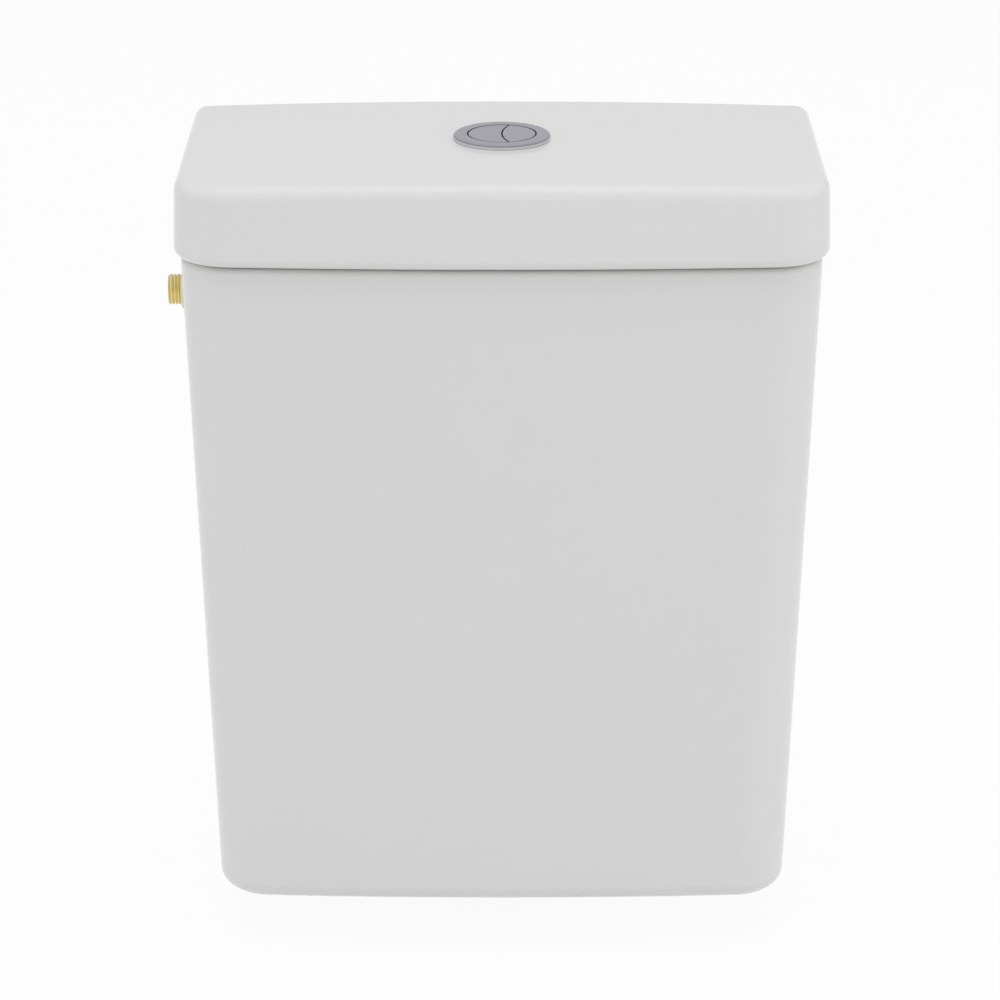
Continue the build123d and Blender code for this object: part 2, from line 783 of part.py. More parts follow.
# Cone-shaped clamp that holds the seal on the tube
with BuildPart() as seal_clamp:
    with BuildSketch(Plane.XZ):
        with BuildLine():
            Polyline(
                (overflow_r + seat_gap, clamp_z),
                (seal_r - clamp_margin, clamp_z),
                (overflow_r + clamp_margin, clamp_top_z),
                (overflow_r + seat_gap, clamp_top_z),
                close=True,
            )
        make_face()
    revolve(axis=Axis.Z)
seal_clamp.part.label = "seal_clamp"
export_step(seal_clamp.part, "parts/seal_clamp.step")


def lift_rod(side, foot_z):
    """Rod with a head that a rocker's fork lifts."""
    with BuildPart() as piece:
        with BuildSketch(Plane.XY.offset(foot_z)):
            with Locations((side * push_rod_x, lift_rod_y)):
                Circle(lift_rod_r)
        extrude(amount=lift_head_z - foot_z)
        with BuildSketch(Plane.XY.offset(lift_head_z)):
            with Locations((side * push_rod_x, lift_rod_y)):
                Circle(lift_head_r)
        extrude(amount=lift_head_height)
    return piece


# Collar on the overflow tube, with an arm out to the full-flush rod
lift_collar_z = clamp_top_z + lift_collar_rise
with BuildPart() as lift_collar:
    with BuildSketch(Plane.XY.offset(lift_collar_z)):
        Circle(overflow_r + lift_collar_wall)
        with BuildLine():
            Line((0, 0), (-push_rod_x, lift_rod_y))
        trace(line_width=lift_arm_width)
        with Locations((-push_rod_x, lift_rod_y)):
            Circle(lift_rod_r + tower_margin)
            Circle(lift_rod_r + seat_gap, mode=Mode.SUBTRACT)
        Circle(overflow_r + seat_gap, mode=Mode.SUBTRACT)
    extrude(amount=lift_collar_height)
lift_collar.part.label = "lift_collar"
export_step(lift_collar.part, "parts/lift_collar.step")

full_lift_rod = lift_rod(-1, lift_collar_z)
full_lift_rod.part.label = "full_lift_rod"
export_step(full_lift_rod.part, "parts/full_lift_rod.step")

kidney_float_z = deck_z - kidney_float_drop
half_lift_rod = lift_rod(1, kidney_float_z - kidney_float_height / 2)
half_lift_rod.part.label = "half_lift_rod"
export_step(half_lift_rod.part, "parts/half_lift_rod.step")

# Kidney-shaped float that rides on the half-flush rod between tube and column
with BuildPart() as half_flush_float:
    rod_reach = hypot(push_rod_x, lift_rod_y)
    arc_start = degrees(asin(lift_rod_y / rod_reach)) - kidney_float_arc / 2
    with BuildSketch(Plane.XY.offset(kidney_float_z)):
        with BuildLine():
            CenterArc((0, 0), rod_reach - lift_rod_r, arc_start, kidney_float_arc)
        trace(line_width=kidney_float_wall)
        with Locations((push_rod_x, lift_rod_y)):
            Circle(lift_rod_r + seat_gap, mode=Mode.SUBTRACT)
    extrude(amount=kidney_float_height)
half_flush_float.part.label = "half_flush_float"
export_step(half_flush_float.part, "parts/half_flush_float.step")


def rocker(side):
    """Lever from a push rod to a lift rod. At rest its lifting end is low."""
    with BuildPart() as piece:
        low_x = side * push_rod_x - rocker_width / 2
        along = (0, cos(rocker_swing), -sin(rocker_swing))
        with BuildSketch(Plane(origin=(low_x, pivot_y, pivot_z), x_dir=along, z_dir=(1, 0, 0))):
            with BuildLine():
                Line((-press_arm, 0), (lift_arm, 0))
            trace(line_width=rocker_web)
            Circle(rocker_hub_r)
            with Locations((-press_arm, 0), (lift_arm, 0)):
                Circle(rocker_nose_r)
            Circle(rocker_pin_r + running_gap, mode=Mode.SUBTRACT)
        extrude(amount=rocker_width)
        # Slot that straddles the lift rod
        with Locations((side * push_rod_x, lift_rod_y, pivot_z - lift_travel / 2)):
            Box(
                2 * (lift_rod_r + fit_gap),
                2 * (lift_rod_r + fork_depth),
                4 * rocker_nose_r,
                mode=Mode.SUBTRACT,
            )
    return piece


full_rocker = rocker(-1)
full_rocker.part.label = "full_rocker"
export_step(full_rocker.part, "parts/full_rocker.step")

half_rocker = rocker(1)
half_rocker.part.label = "half_rocker"
export_step(half_rocker.part, "parts/half_rocker.step")

# Bolts that hold the tank to the pan, each with its washers and clamping nut
with BuildPart() as coupling_bolts:
    head_z = floor_z + bolt_rubber_thickness + bolt_steel_thickness
    with BuildSketch(Plane.XY.offset(-bolt_drop)):
        with GridLocations(bolt_spacing, 0, 2, 1):
            Circle(bolt_r)
    extrude(amount=bolt_drop + foot_recess - bolt_nut_height)
    with BuildSketch(Plane.XY.offset(foot_recess - bolt_nut_height)):
        with GridLocations(bolt_spacing, 0, 2, 1):
            Circle(bolt_shank_r)
    extrude(amount=head_z - foot_recess + bolt_nut_height)
    with BuildSketch(Plane.XY.offset(head_z)):
        with GridLocations(bolt_spacing, 0, 2, 1):
            RegularPolygon(bolt_head_flats / 2, hexagon_sides, major_radius=False)
    extrude(amount=bolt_head_height)
coupling_bolts.part.label = "coupling_bolts"
export_step(coupling_bolts.part, "parts/coupling_bolts.step")

with BuildPart() as bolt_rubber_washers:
    with BuildSketch(Plane.XY.offset(floor_z)):
        with GridLocations(bolt_spacing, 0, 2, 1):
            Circle(bolt_rubber_r)
            Circle(bolt_shank_r + seat_gap, mode=Mode.SUBTRACT)
    extrude(amount=bolt_rubber_thickness)
bolt_rubber_washers.part.label = "bolt_rubber_washers"
export_step(bolt_rubber_washers.part, "parts/bolt_rubber_washers.step")

with BuildPart() as bolt_steel_washers:
    with BuildSketch(Plane.XY.offset(floor_z + bolt_rubber_thickness)):
        with GridLocations(bolt_spacing, 0, 2, 1):
            Circle(bolt_steel_r)
            Circle(bolt_shank_r + seat_gap, mode=Mode.SUBTRACT)
    extrude(amount=bolt_steel_thickness)
bolt_steel_washers.part.label = "bolt_steel_washers"
export_step(bolt_steel_washers.part, "parts/bolt_steel_washers.step")

with BuildPart() as bolt_nuts:
    with BuildSketch(Plane.XY.offset(foot_recess)):
        with GridLocations(bolt_spacing, 0, 2, 1):
            RegularPolygon(bolt_head_flats / 2, hexagon_sides, major_radius=False)
            Circle(bolt_shank_r + seat_gap, mode=Mode.SUBTRACT)
    extrude(amount=-bolt_nut_height)
bolt_nuts.part.label = "bolt_nuts"
export_step(bolt_nuts.part, "parts/bolt_nuts.step")

# Inlet tail: brass, with its free thread outside, a flange inside and a spigot into the valve
inlet_axis = Axis((0, 0, inlet_z), (1, 0, 0))
with BuildPart() as inlet_tail:
    with BuildSketch(Plane.XZ):
        with BuildLine():
            Polyline(
                (inlet_end_x, inlet_z + inlet_bore_r),
                (inlet_end_x, inlet_z + inlet_thread_r),
                (inlet_nut_x - inlet_groove, inlet_z + inlet_thread_r),
                (inlet_nut_x - inlet_groove, inlet_z + inlet_thread_r - inlet_groove_depth),
                (inlet_nut_x, inlet_z + inlet_thread_r - inlet_groove_depth),
                (inlet_nut_x, inlet_z + inlet_thread_r),
                (inlet_flange_x, inlet_z + inlet_thread_r),
                (inlet_flange_x, inlet_z + inlet_flange_r),
                (fill_body_x, inlet_z + inlet_flange_r),
                (fill_body_x, inlet_z + inlet_spigot_r),
                (fill_body_x + inlet_spigot_length, inlet_z + inlet_spigot_r),
                (fill_body_x + inlet_spigot_length, inlet_z + inlet_bore_r),
                close=True,
            )
        make_face()
    revolve(axis=inlet_axis)
inlet_tail.part.label = "inlet_tail"
export_step(inlet_tail.part, "parts/inlet_tail.step")

# Plastic nut against the outside of the tank
with BuildPart() as inlet_nut:
    with BuildSketch(Plane.YZ.offset(inlet_outer_x)):
        with Locations((0, inlet_z)):
            RegularPolygon(inlet_nut_flats / 2, hexagon_sides, major_radius=False)
    extrude(amount=-inlet_nut_height)
    with BuildSketch(Plane.YZ.offset(inlet_nut_x)):
        with Locations((0, inlet_z)):
            Circle(inlet_nut_collar_r)
    extrude(amount=inlet_nut_collar)
    with BuildSketch(Plane.YZ.offset(inlet_nut_x)):
        with Locations((0, inlet_z)):
            Circle(inlet_thread_r + seat_gap)
    extrude(amount=inlet_nut_height + inlet_nut_collar, mode=Mode.SUBTRACT)
inlet_nut.part.label = "inlet_nut"
export_step(inlet_nut.part, "parts/inlet_nut.step")

with BuildPart() as inlet_washer:
    with BuildSketch(Plane.YZ.offset(inlet_inner_x)):
        with Locations((0, inlet_z)):
            Circle(inlet_flange_r)
            Circle(inlet_thread_r + seat_gap, mode=Mode.SUBTRACT)
    extrude(amount=inlet_washer_thickness)
inlet_washer.part.label = "inlet_washer"
export_step(inlet_washer.part, "parts/inlet_washer.step")

# Filter: a cup that slides into the tail's bore from outside
with BuildPart() as inlet_filter:
    with BuildSketch(Plane.YZ.offset(inlet_end_x + overrun)):
        with Locations((0, inlet_z)):
            Circle(inlet_bore_r - seat_gap)
    extrude(amount=filter_length)
    with BuildSketch(Plane.YZ.offset(inlet_end_x + overrun)):
        with Locations((0, inlet_z)):
            Circle(inlet_bore_r - seat_gap - filter_wall)
    extrude(amount=filter_length - filter_wall, mode=Mode.SUBTRACT)
inlet_filter.part.label = "inlet_filter"
export_step(inlet_filter.part, "parts/inlet_filter.step")

# Fill valve's body: socket for the tail, water way, rim for the diaphragm and spout
with BuildPart() as fill_valve_body:
    with BuildSketch(Plane.YZ.offset(fill_body_x)):
        with Locations((0, inlet_z)):
            Circle(fill_body_r)
    extrude(amount=fill_body_length)
    with BuildSketch(Plane.YZ.offset(fill_end_x - fill_rim_thickness)):
        with Locations((0, inlet_z)):
            Circle(fill_rim_r)
    extrude(amount=fill_rim_thickness)
    with BuildSketch(Plane.XY.offset(spout_foot_z)):
        with Locations((spout_x, 0)):
            Circle(spout_r)
    extrude(amount=inlet_z - spout_foot_z)
    with BuildSketch(Plane.YZ.offset(fill_body_x)):
        with Locations((0, inlet_z)):
            Circle(inlet_spigot_r + seat_gap)
    extrude(amount=inlet_spigot_length, mode=Mode.SUBTRACT)
    with BuildSketch(Plane.YZ.offset(fill_body_x)):
        with Locations((0, inlet_z)):
            Circle(fill_bore_r)
    extrude(amount=fill_body_length, mode=Mode.SUBTRACT)
    with BuildSketch(Plane.XY.offset(spout_foot_z)):
        with Locations((spout_x, 0)):
            Circle(spout_r - spout_wall)
    extrude(amount=inlet_z - spout_foot_z, mode=Mode.SUBTRACT)
fill_valve_body.part.label = "fill_valve_body"
export_step(fill_valve_body.part, "parts/fill_valve_body.step")

with BuildPart() as fill_diaphragm:
    with BuildSketch(Plane.YZ.offset(fill_end_x)):
        with Locations((0, inlet_z)):
            Circle(fill_rim_r - diaphragm_thickness)
    extrude(amount=diaphragm_thickness)
fill_diaphragm.part.label = "fill_diaphragm"
export_step(fill_diaphragm.part, "parts/fill_diaphragm.step")

# Cap: closes the diaphragm's chamber, carries the float arm's ears, its pilot and the rod's guide
with BuildPart() as fill_valve_cap:
    with BuildSketch(Plane.YZ.offset(fill_cap_x)):
        with Locations((0, inlet_z)):
            Circle(fill_rim_r)
    extrude(amount=fill_cap_length)
    with BuildSketch(Plane.XZ):
        with Locations((float_pivot_x, (inlet_z + float_pivot_z) / 2)):
            Rectangle(2 * float_hub_r, float_pivot_z - inlet_z)
        with Locations((float_pivot_x, float_pivot_z)):
            Circle(float_hub_r)
    extrude(amount=float_arm_width / 2 + fit_gap + float_ear_thickness, both=True)
    with Locations((float_pivot_x, 0, float_pivot_z + fill_rim_r / 2 - float_pivot_rise / 2 + float_hub_r)):
        Box(
            4 * float_hub_r,
            float_arm_width + 2 * fit_gap,
            float_pivot_rise - fill_rim_r + 2 * float_hub_r,
            mode=Mode.SUBTRACT,
        )
    with BuildSketch(Plane.XZ):
        with Locations((float_pivot_x, float_pivot_z)):
            Circle(float_pin_r + seat_gap)
    extrude(amount=float_arm_width, both=True, mode=Mode.SUBTRACT)
    with BuildSketch(Plane.XY.offset(inlet_z)):
        with Locations((pilot_x, 0)):
            Circle(pilot_r)
    extrude(amount=pilot_top_z - inlet_z)
    with BuildSketch(Plane.XY.offset(inlet_z - float_guide_height / 2)):
        with BuildLine():
            Line((fill_cap_end_x - overrun, 0), (float_rod_x, 0))
        trace(line_width=float_guide_r)
        with Locations((float_rod_x, 0)):
            Circle(float_guide_r)
            Circle(float_rod_r + fit_gap, mode=Mode.SUBTRACT)
    extrude(amount=float_guide_height)
fill_valve_cap.part.label = "fill_valve_cap"
export_step(fill_valve_cap.part, "parts/fill_valve_cap.step")

with BuildPart() as silencer_tube:
    silencer_top_z = inlet_z - fill_body_r - silencer_top_drop
    with BuildSketch(Plane.XY.offset(floor_z + silencer_foot_gap)):
        with Locations((spout_x, 0)):
            Circle(silencer_r)
            Circle(spout_r + seat_gap, mode=Mode.SUBTRACT)
    extrude(amount=silencer_top_z - floor_z - silencer_foot_gap)
silencer_tube.part.label = "silencer_tube"
export_step(silencer_tube.part, "parts/silencer_tube.step")

with BuildPart() as arm_pin:
    with BuildSketch(Plane.XZ):
        with Locations((float_pivot_x, float_pivot_z)):
            Circle(float_pin_r)
    extrude(amount=float_arm_width / 2 + fit_gap + float_ear_thickness, both=True)
arm_pin.part.label = "arm_pin"
export_step(arm_pin.part, "parts/arm_pin.step")

# Float arm: forked at the float rod, with a tail that shuts the pilot. At rest the float is low
with BuildPart() as float_arm:
    along = (cos(float_swing), 0, -sin(float_swing))
    with BuildSketch(Plane(origin=(float_pivot_x, 0, float_pivot_z), x_dir=along, z_dir=(0, -1, 0))):
        with BuildLine():
            Line((-float_tail_arm, 0), (float_arm_length, 0))
        trace(line_width=float_web)
        Circle(float_hub_r)
        with Locations((-float_tail_arm, 0), (float_arm_length, 0)):
            Circle(float_nose_r)
        Circle(float_pin_r + running_gap, mode=Mode.SUBTRACT)
    extrude(amount=float_arm_width / 2, both=True)
    with Locations((float_rod_x, 0, float_nose_z)):
        Box(
            2 * (float_rod_r + fork_depth),
            2 * (float_rod_r + fit_gap),
            4 * float_nose_r,
            mode=Mode.SUBTRACT,
        )
float_arm.part.label = "float_arm"
export_step(float_arm.part, "parts/float_arm.step")

# Rod with a head above the arm's fork, a shoulder under the cup and a threaded middle
with BuildPart() as float_rod:
    with BuildSketch(Plane.XY.offset(float_cup_top_z - float_cup_height)):
        with Locations((float_rod_x, 0)):
            Circle(float_rod_r)
    extrude(amount=float_head_z - float_cup_top_z + float_cup_height)
    with BuildSketch(Plane.XY.offset(float_head_z)):
        with Locations((float_rod_x, 0)):
            Circle(float_head_r)
    extrude(amount=float_head_height)
    with BuildSketch(Plane.XY.offset(float_cup_top_z - float_cup_wall)):
        with Locations((float_rod_x, 0)):
            Circle(float_head_r)
    extrude(amount=-float_head_height)
float_rod.part.label = "float_rod"
export_step(float_rod.part, "parts/float_rod.step")

with BuildPart() as float_adjuster:
    with BuildSketch(Plane.XY.offset(float_adjuster_z)):
        with Locations((float_rod_x, 0)):
            Circle(float_adjuster_r)
            Circle(float_rod_r + seat_gap, mode=Mode.SUBTRACT)
    extrude(amount=float_adjuster_height)
float_adjuster.part.label = "float_adjuster"
export_step(float_adjuster.part, "parts/float_adjuster.step")

# Float: an upturned cup that traps air
with BuildPart() as float_cup:
    with BuildSketch(Plane.XY.offset(float_cup_top_z)):
        with Locations((float_rod_x, 0)):
            Circle(float_cup_r)
            Circle(float_rod_r + seat_gap, mode=Mode.SUBTRACT)
    extrude(amount=-float_cup_wall)
    with BuildSketch(Plane.XY.offset(float_cup_top_z - float_cup_wall)):
        with Locations((float_rod_x, 0)):
            Circle(float_cup_r)
            Circle(float_cup_r - float_cup_wall, mode=Mode.SUBTRACT)
    extrude(amount=float_cup_wall - float_cup_height)
float_cup.part.label = "float_cup"
export_step(float_cup.part, "parts/float_cup.step")

print("rocker swing", round(degrees(rocker_swing), 3), "degrees each way, lift", lift_travel)
print("rocker pivot y, z", pivot_y, round(pivot_z, 3), "rods at y", push_rod_y, lift_rod_y)
print("float swing", round(degrees(float_swing), 3), "pivot x, z", round(float_pivot_x, 3), float_pivot_z)
print("inlet end x", round(inlet_end_x, 3), "nut x", round(inlet_nut_x, 3), "float rod x", round(float_rod_x, 3))
print("spring pocket z", pocket_z)
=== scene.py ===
# %% [markdown]
# # A close-coupled toilet cistern
# The cistern is a glazed china tank with a china lid, a satin-chrome push button in the lid and a brass inlet
# tail at its left side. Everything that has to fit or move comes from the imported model, which is loaded first
# and never moved. This script adds what the model leaves plain: the finishes, the threads and the small
# moulded detail. All lengths are metres, -Y is the front and +Z is up.

# %% Load the frame
import bpy
import bmesh
import json
from math import cos, pi, radians, sin, sqrt, tau
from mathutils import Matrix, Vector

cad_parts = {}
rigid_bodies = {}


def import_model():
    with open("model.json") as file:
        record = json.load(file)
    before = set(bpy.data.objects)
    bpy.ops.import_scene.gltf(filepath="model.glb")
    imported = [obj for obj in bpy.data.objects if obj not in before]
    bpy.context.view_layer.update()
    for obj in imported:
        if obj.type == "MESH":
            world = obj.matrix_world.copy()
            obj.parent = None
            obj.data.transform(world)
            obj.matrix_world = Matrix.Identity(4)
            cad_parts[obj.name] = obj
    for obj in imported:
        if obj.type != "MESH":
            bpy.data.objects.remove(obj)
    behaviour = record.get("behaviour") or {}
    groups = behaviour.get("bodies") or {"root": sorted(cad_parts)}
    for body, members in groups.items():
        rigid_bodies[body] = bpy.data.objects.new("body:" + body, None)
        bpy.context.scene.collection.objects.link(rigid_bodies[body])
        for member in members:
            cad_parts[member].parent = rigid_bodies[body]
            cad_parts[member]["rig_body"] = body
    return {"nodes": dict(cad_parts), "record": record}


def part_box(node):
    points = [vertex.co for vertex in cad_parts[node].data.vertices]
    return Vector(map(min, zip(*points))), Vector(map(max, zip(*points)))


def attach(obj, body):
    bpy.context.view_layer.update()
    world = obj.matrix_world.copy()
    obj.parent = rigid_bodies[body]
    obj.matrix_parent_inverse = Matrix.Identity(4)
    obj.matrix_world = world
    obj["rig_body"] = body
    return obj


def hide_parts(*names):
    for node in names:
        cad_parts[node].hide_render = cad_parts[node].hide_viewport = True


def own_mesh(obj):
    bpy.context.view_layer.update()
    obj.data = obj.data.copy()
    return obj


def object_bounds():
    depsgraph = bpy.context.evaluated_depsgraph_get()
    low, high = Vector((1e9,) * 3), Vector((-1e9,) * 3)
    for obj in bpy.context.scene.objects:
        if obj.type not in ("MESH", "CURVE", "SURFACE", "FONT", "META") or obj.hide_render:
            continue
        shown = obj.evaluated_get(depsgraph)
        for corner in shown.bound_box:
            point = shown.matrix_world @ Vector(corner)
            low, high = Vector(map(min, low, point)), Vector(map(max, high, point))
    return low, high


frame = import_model()
nodes = frame["nodes"]
cad_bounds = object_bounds()
scene = bpy.context.scene
scene.view_settings.view_transform = "Standard"
mm = 0.001

# %% [markdown]
# The portrait is taken with a long lens from a little above, so that the lid's top shows as a narrow band and
# the sides of the tank vanish. A long lens could be faked by an orthographic camera, but then the lid's back
# edge would be as wide as its front edge. The place below comes from matching the lid's and the tank's outline.

# %% Camera
image_width = 1000
focal_length_px = 3798.3
camera_place = (0, -1.9292, 0.9160)
camera_pitch = radians(20.28)
sensor = 36.0
axis_px = 501.87

camera_data = bpy.data.cameras.new("portrait")
camera_data.sensor_width = sensor
camera_data.lens = focal_length_px * sensor / image_width
camera_data.shift_x = (image_width / 2 - axis_px) / image_width
camera_data.clip_end = 50
camera = bpy.data.objects.new("portrait", camera_data)
camera.location = camera_place
camera.rotation_euler = (pi / 2 - camera_pitch, 0, 0)
scene.collection.objects.link(camera)
scene.camera = camera
print("lens", round(camera_data.lens, 2), "mm")

# %% [markdown]
# Shader maths reads best as an ordinary expression, such as `1 - mask * 0.5`. The small class below stands for
# one output of a node and adds a Math node for each operator. A node group would be the other way, but its
# wiring can't be read in a script.

# %% Node expressions
class Value:
    """One output of a node, which Python's operators work on."""

    def __init__(self, tree, socket):
        self.tree = tree
        self.socket = socket

    def math(self, operation, *others):
        values = {f"n{place}": value for place, value in enumerate((self, *others))}
        return Value(self.tree, add(self.tree, "ShaderNodeMath", {"operation": operation}, **values).outputs[0])

    def __add__(self, other):
        return self.math("ADD", other)

    def __sub__(self, other):
        return self.math("SUBTRACT", other)

    def __mul__(self, other):
        return self.math("MULTIPLY", other)

    def __truediv__(self, other):
        return self.math("DIVIDE", other)

    def __rsub__(self, other):
        return self * -1 + other

    def __rtruediv__(self, other):
        return self.math("POWER", -1) * other

    __radd__ = __add__
    __rmul__ = __mul__

    def step(self, edge, softness):
        """0 below edge and 1 above it, with a soft change between."""
        return ((self - edge) / softness + 0.5).math("MAXIMUM", 0).math("MINIMUM", 1)


print("node operators ready")

# %% [markdown]
# All nodes are made in one way, here and in the Geometry Nodes trees further down. The settings come first,
# because they can change which sockets a node has, and then each socket gets a link or a plain value. The same
# could be written out line by line for each node, but then the pattern is lost among the lines.

# %% Make a node
def connect(tree, value, socket):
    """Links a Value or an output to a socket, or sets the socket to a plain number, colour or material."""
    if isinstance(value, Value):
        value = value.socket
    if isinstance(value, bpy.types.NodeSocket):
        tree.links.new(value, socket)
    elif hasattr(value, "__len__") and len(value) == 3 and len(socket.default_value) == 4:
        socket.default_value = (*value, 1)
    else:
        socket.default_value = value


def add(tree, kind, settings=None, **sockets):
    """Adds a node, sets its settings and then its sockets. n0 stands for the first socket, n1 for the next."""
    node = tree.nodes.new(kind)
    for name, value in (settings or {}).items():
        setattr(node, name, value)
    for name, value in sockets.items():
        place = int(name[1:]) if name[0] == "n" and name[1:].isdigit() else name.replace("_", " ").title()
        connect(tree, value, node.inputs[place])
    return node


print("nodes can be made")

# %% [markdown]
# Each finish of the cistern is one material on the Principled shader. `Finish` starts it, gives it the patterns
# that every finish is made of, and sets the shader's sockets by name. All patterns are read from the point on
# the piece, because a piece that has no unwrapped map can still show them, and they stay put when it moves.

# %% Finishes
class Finish:
    """A material that is being made."""

    def __init__(self, name, **settings):
        self.material = bpy.data.materials.new(name)
        self.material.use_nodes = True
        self.tree = self.material.node_tree
        self.shader = self.tree.nodes["Principled BSDF"]
        self.set(**settings)

    def set(self, **settings):
        """Sets or links sockets of the shader. An underscore in a name stands for a space."""
        for name, value in settings.items():
            connect(self.tree, value, self.shader.inputs[name.replace("_", " ").title().replace("Ior", "IOR")])

    def node(self, kind, output=0, settings=None, **sockets):
        """Adds a shader node and returns one of its outputs."""
        return Value(self.tree, add(self.tree, "ShaderNode" + kind, settings, **sockets).outputs[output])

    def place(self):
        """The point on the piece, in metres from the cistern's origin."""
        return self.node("TexCoord", "Object")

    def axes(self):
        """The three numbers of the point on the piece."""
        split = add(self.tree, "ShaderNodeSeparateXYZ", n0=self.place())
        return [Value(self.tree, output) for output in split.outputs]

    def noise(self, size, detail=2.0):
        """Noise from 0 to 1 whose patches are about size metres across."""
        return self.node("TexNoise", "Fac", vector=self.place(), scale=1 / size, detail=detail)

    def mix(self, share, first, second):
        """A colour between first and second. The colours are sockets 6 and 7 of the node."""
        return self.node("Mix", 2, {"data_type": "RGBA"}, factor=share, n6=first, n7=second)

    def bump(self, height, depth):
        """Presses the height, from 0 to 1, into the surface, depth metres deep."""
        self.set(normal=self.node("Bump", "Normal", height=height, distance=depth, strength=1.0))


def paint(material, *names):
    """Gives CAD nodes a material."""
    for name in names:
        nodes[name].data.materials.clear()
        nodes[name].data.materials.append(material)


print("finishes can be made")

# %% [markdown]
# The cistern stands in a white studio. The floor and the world are white to the camera, and pale to reflections,
# but they light the object only softly, and the lamps do the rest. Pouring more light on the floor would whiten
# it too, but would wash out the glaze. The floor still takes a faint shadow, because only part of it glows.

# %% Studio
pure_white = (1.0, 1.0, 1.0)
floor_gap = 0.5 * mm
floor_z = cad_bounds[0][2] - floor_gap
floor_size = 12.0
floor_glow_share = 0.94
world_light = 0.45
mirrored_white = 0.80


def show_white(tree, shader, white, out, share=1.0):
    """Lets camera, mirror and glass rays see the white shader in place of the other one."""
    ray = add(tree, "ShaderNodeLightPath").outputs
    seen = Value(tree, ray["Is Camera Ray"]) + Value(tree, ray["Is Glossy Ray"])
    seen = (seen + Value(tree, ray["Is Transmission Ray"])).math("MINIMUM", 1) * share
    choice = add(tree, "ShaderNodeMixShader", n0=seen, n1=shader.outputs[0], n2=white.outputs[0])
    tree.links.new(choice.outputs[0], out)


world = bpy.data.worlds.new("studio")
scene.world = world
world.use_nodes = True
room = world.node_tree
lighting = room.nodes["Background"]
connect(room, pure_white, lighting.inputs["Color"])
connect(room, world_light, lighting.inputs["Strength"])
camera_ray = Value(room, add(room, "ShaderNodeLightPath").outputs["Is Camera Ray"])
seen_strength = camera_ray * (1 - mirrored_white) + mirrored_white
backdrop = add(room, "ShaderNodeBackground", color=pure_white, strength=seen_strength)
show_white(room, lighting, backdrop, room.nodes["World Output"].inputs[0])

bpy.ops.mesh.primitive_plane_add(size=floor_size, location=(0, 0, floor_z))
floor = bpy.context.object
floor.name = "studio_floor"
paper = Finish("studio_floor", base_color=(0.86, 0.86, 0.86), roughness=0.9)
glow = add(paper.tree, "ShaderNodeEmission", color=pure_white, strength=1.0)
paper_out = paper.tree.nodes["Material Output"].inputs[0]
show_white(paper.tree, paper.shader, glow, paper_out, floor_glow_share)
floor.data.materials.append(paper.material)
print("studio floor at", round(floor_z, 4))

# %% [markdown]
# Five large square lamps stand in for softboxes. Most of the light comes from above, as in the photograph, and
# the others lift the front and both sides. They are hidden from reflections, so that the glaze mirrors an even
# pale room and no lamp's outline. Small lamps would give the same light, but would draw hard shadows.

# %% Lamps
def softbox(name, place, target, size, power):
    """A square lamp at place that faces target. Its size is in metres and its power in watts."""
    lamp = bpy.data.lights.new(name, "AREA")
    lamp.shape = "SQUARE"
    lamp.size = size
    lamp.energy = power
    obj = bpy.data.objects.new(name, lamp)
    obj.location = place
    aim = Vector(target) - Vector(place)
    obj.rotation_euler = aim.to_track_quat("-Z", "Y").to_euler()
    obj.visible_glossy = False
    scene.collection.objects.link(obj)


softbox("top", (0, -0.5, 3.0), (0, 0, 0.3), 1.8, 35.5)
softbox("key", (-0.5, -1.5, 2.6), (0, 0, 0.25), 1.8, 5.0)
softbox("low_front", (0.2, -2.2, 0.35), (0, 0, 0.05), 1.2, 7.6)
softbox("right", (2.2, -0.5, 0.7), (0.1, 0, 0.2), 1.4, 11.3)
softbox("left", (-2.2, -0.5, 0.7), (-0.1, 0, 0.25), 1.4, 8.7)

# %% [markdown]
# Sanitary china is a white body under a thick clear glaze. The glaze is never quite flat: it pools into a very
# faint waviness that shows only in reflections, and the body under it varies a little in tone. The bump is
# therefore wide and shallow. Where the piece stood in the kiln, at its foot, the body is bare and matt.

# %% China
glaze_white = (0.700, 0.700, 0.697)
glaze_shade = (0.685, 0.685, 0.685)
bisque = (0.70, 0.68, 0.63)
bisque_roughness = 0.62
glaze_roughness = 0.20
glaze_depth = 0.22 * mm


def china(name, bare_below):
    """Glazed china, bare under the height bare_below."""
    finish = Finish(name, coat_weight=0.30, coat_roughness=0.06)
    height = finish.axes()[2]
    glazed = height.step(bare_below, 0.8 * mm)
    cloud = finish.noise(90 * mm, 3.0)
    wave = finish.noise(22 * mm, 1.0)
    pores = finish.noise(1.2 * mm, 4.0)
    body = finish.mix(cloud, glaze_shade, glaze_white)
    finish.set(base_color=finish.mix(glazed, bisque, body))
    finish.set(roughness=bisque_roughness - glazed * (bisque_roughness - glaze_roughness) + cloud * 0.05)
    finish.bump(wave * glazed + pores * (1 - glazed) * 0.6, glaze_depth)
    return finish.material


paint(china("tank_china", 1.2 * mm), "tank")
paint(china("lid_china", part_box("lid")[0].z + 0.4 * mm), "lid")
print("china painted")
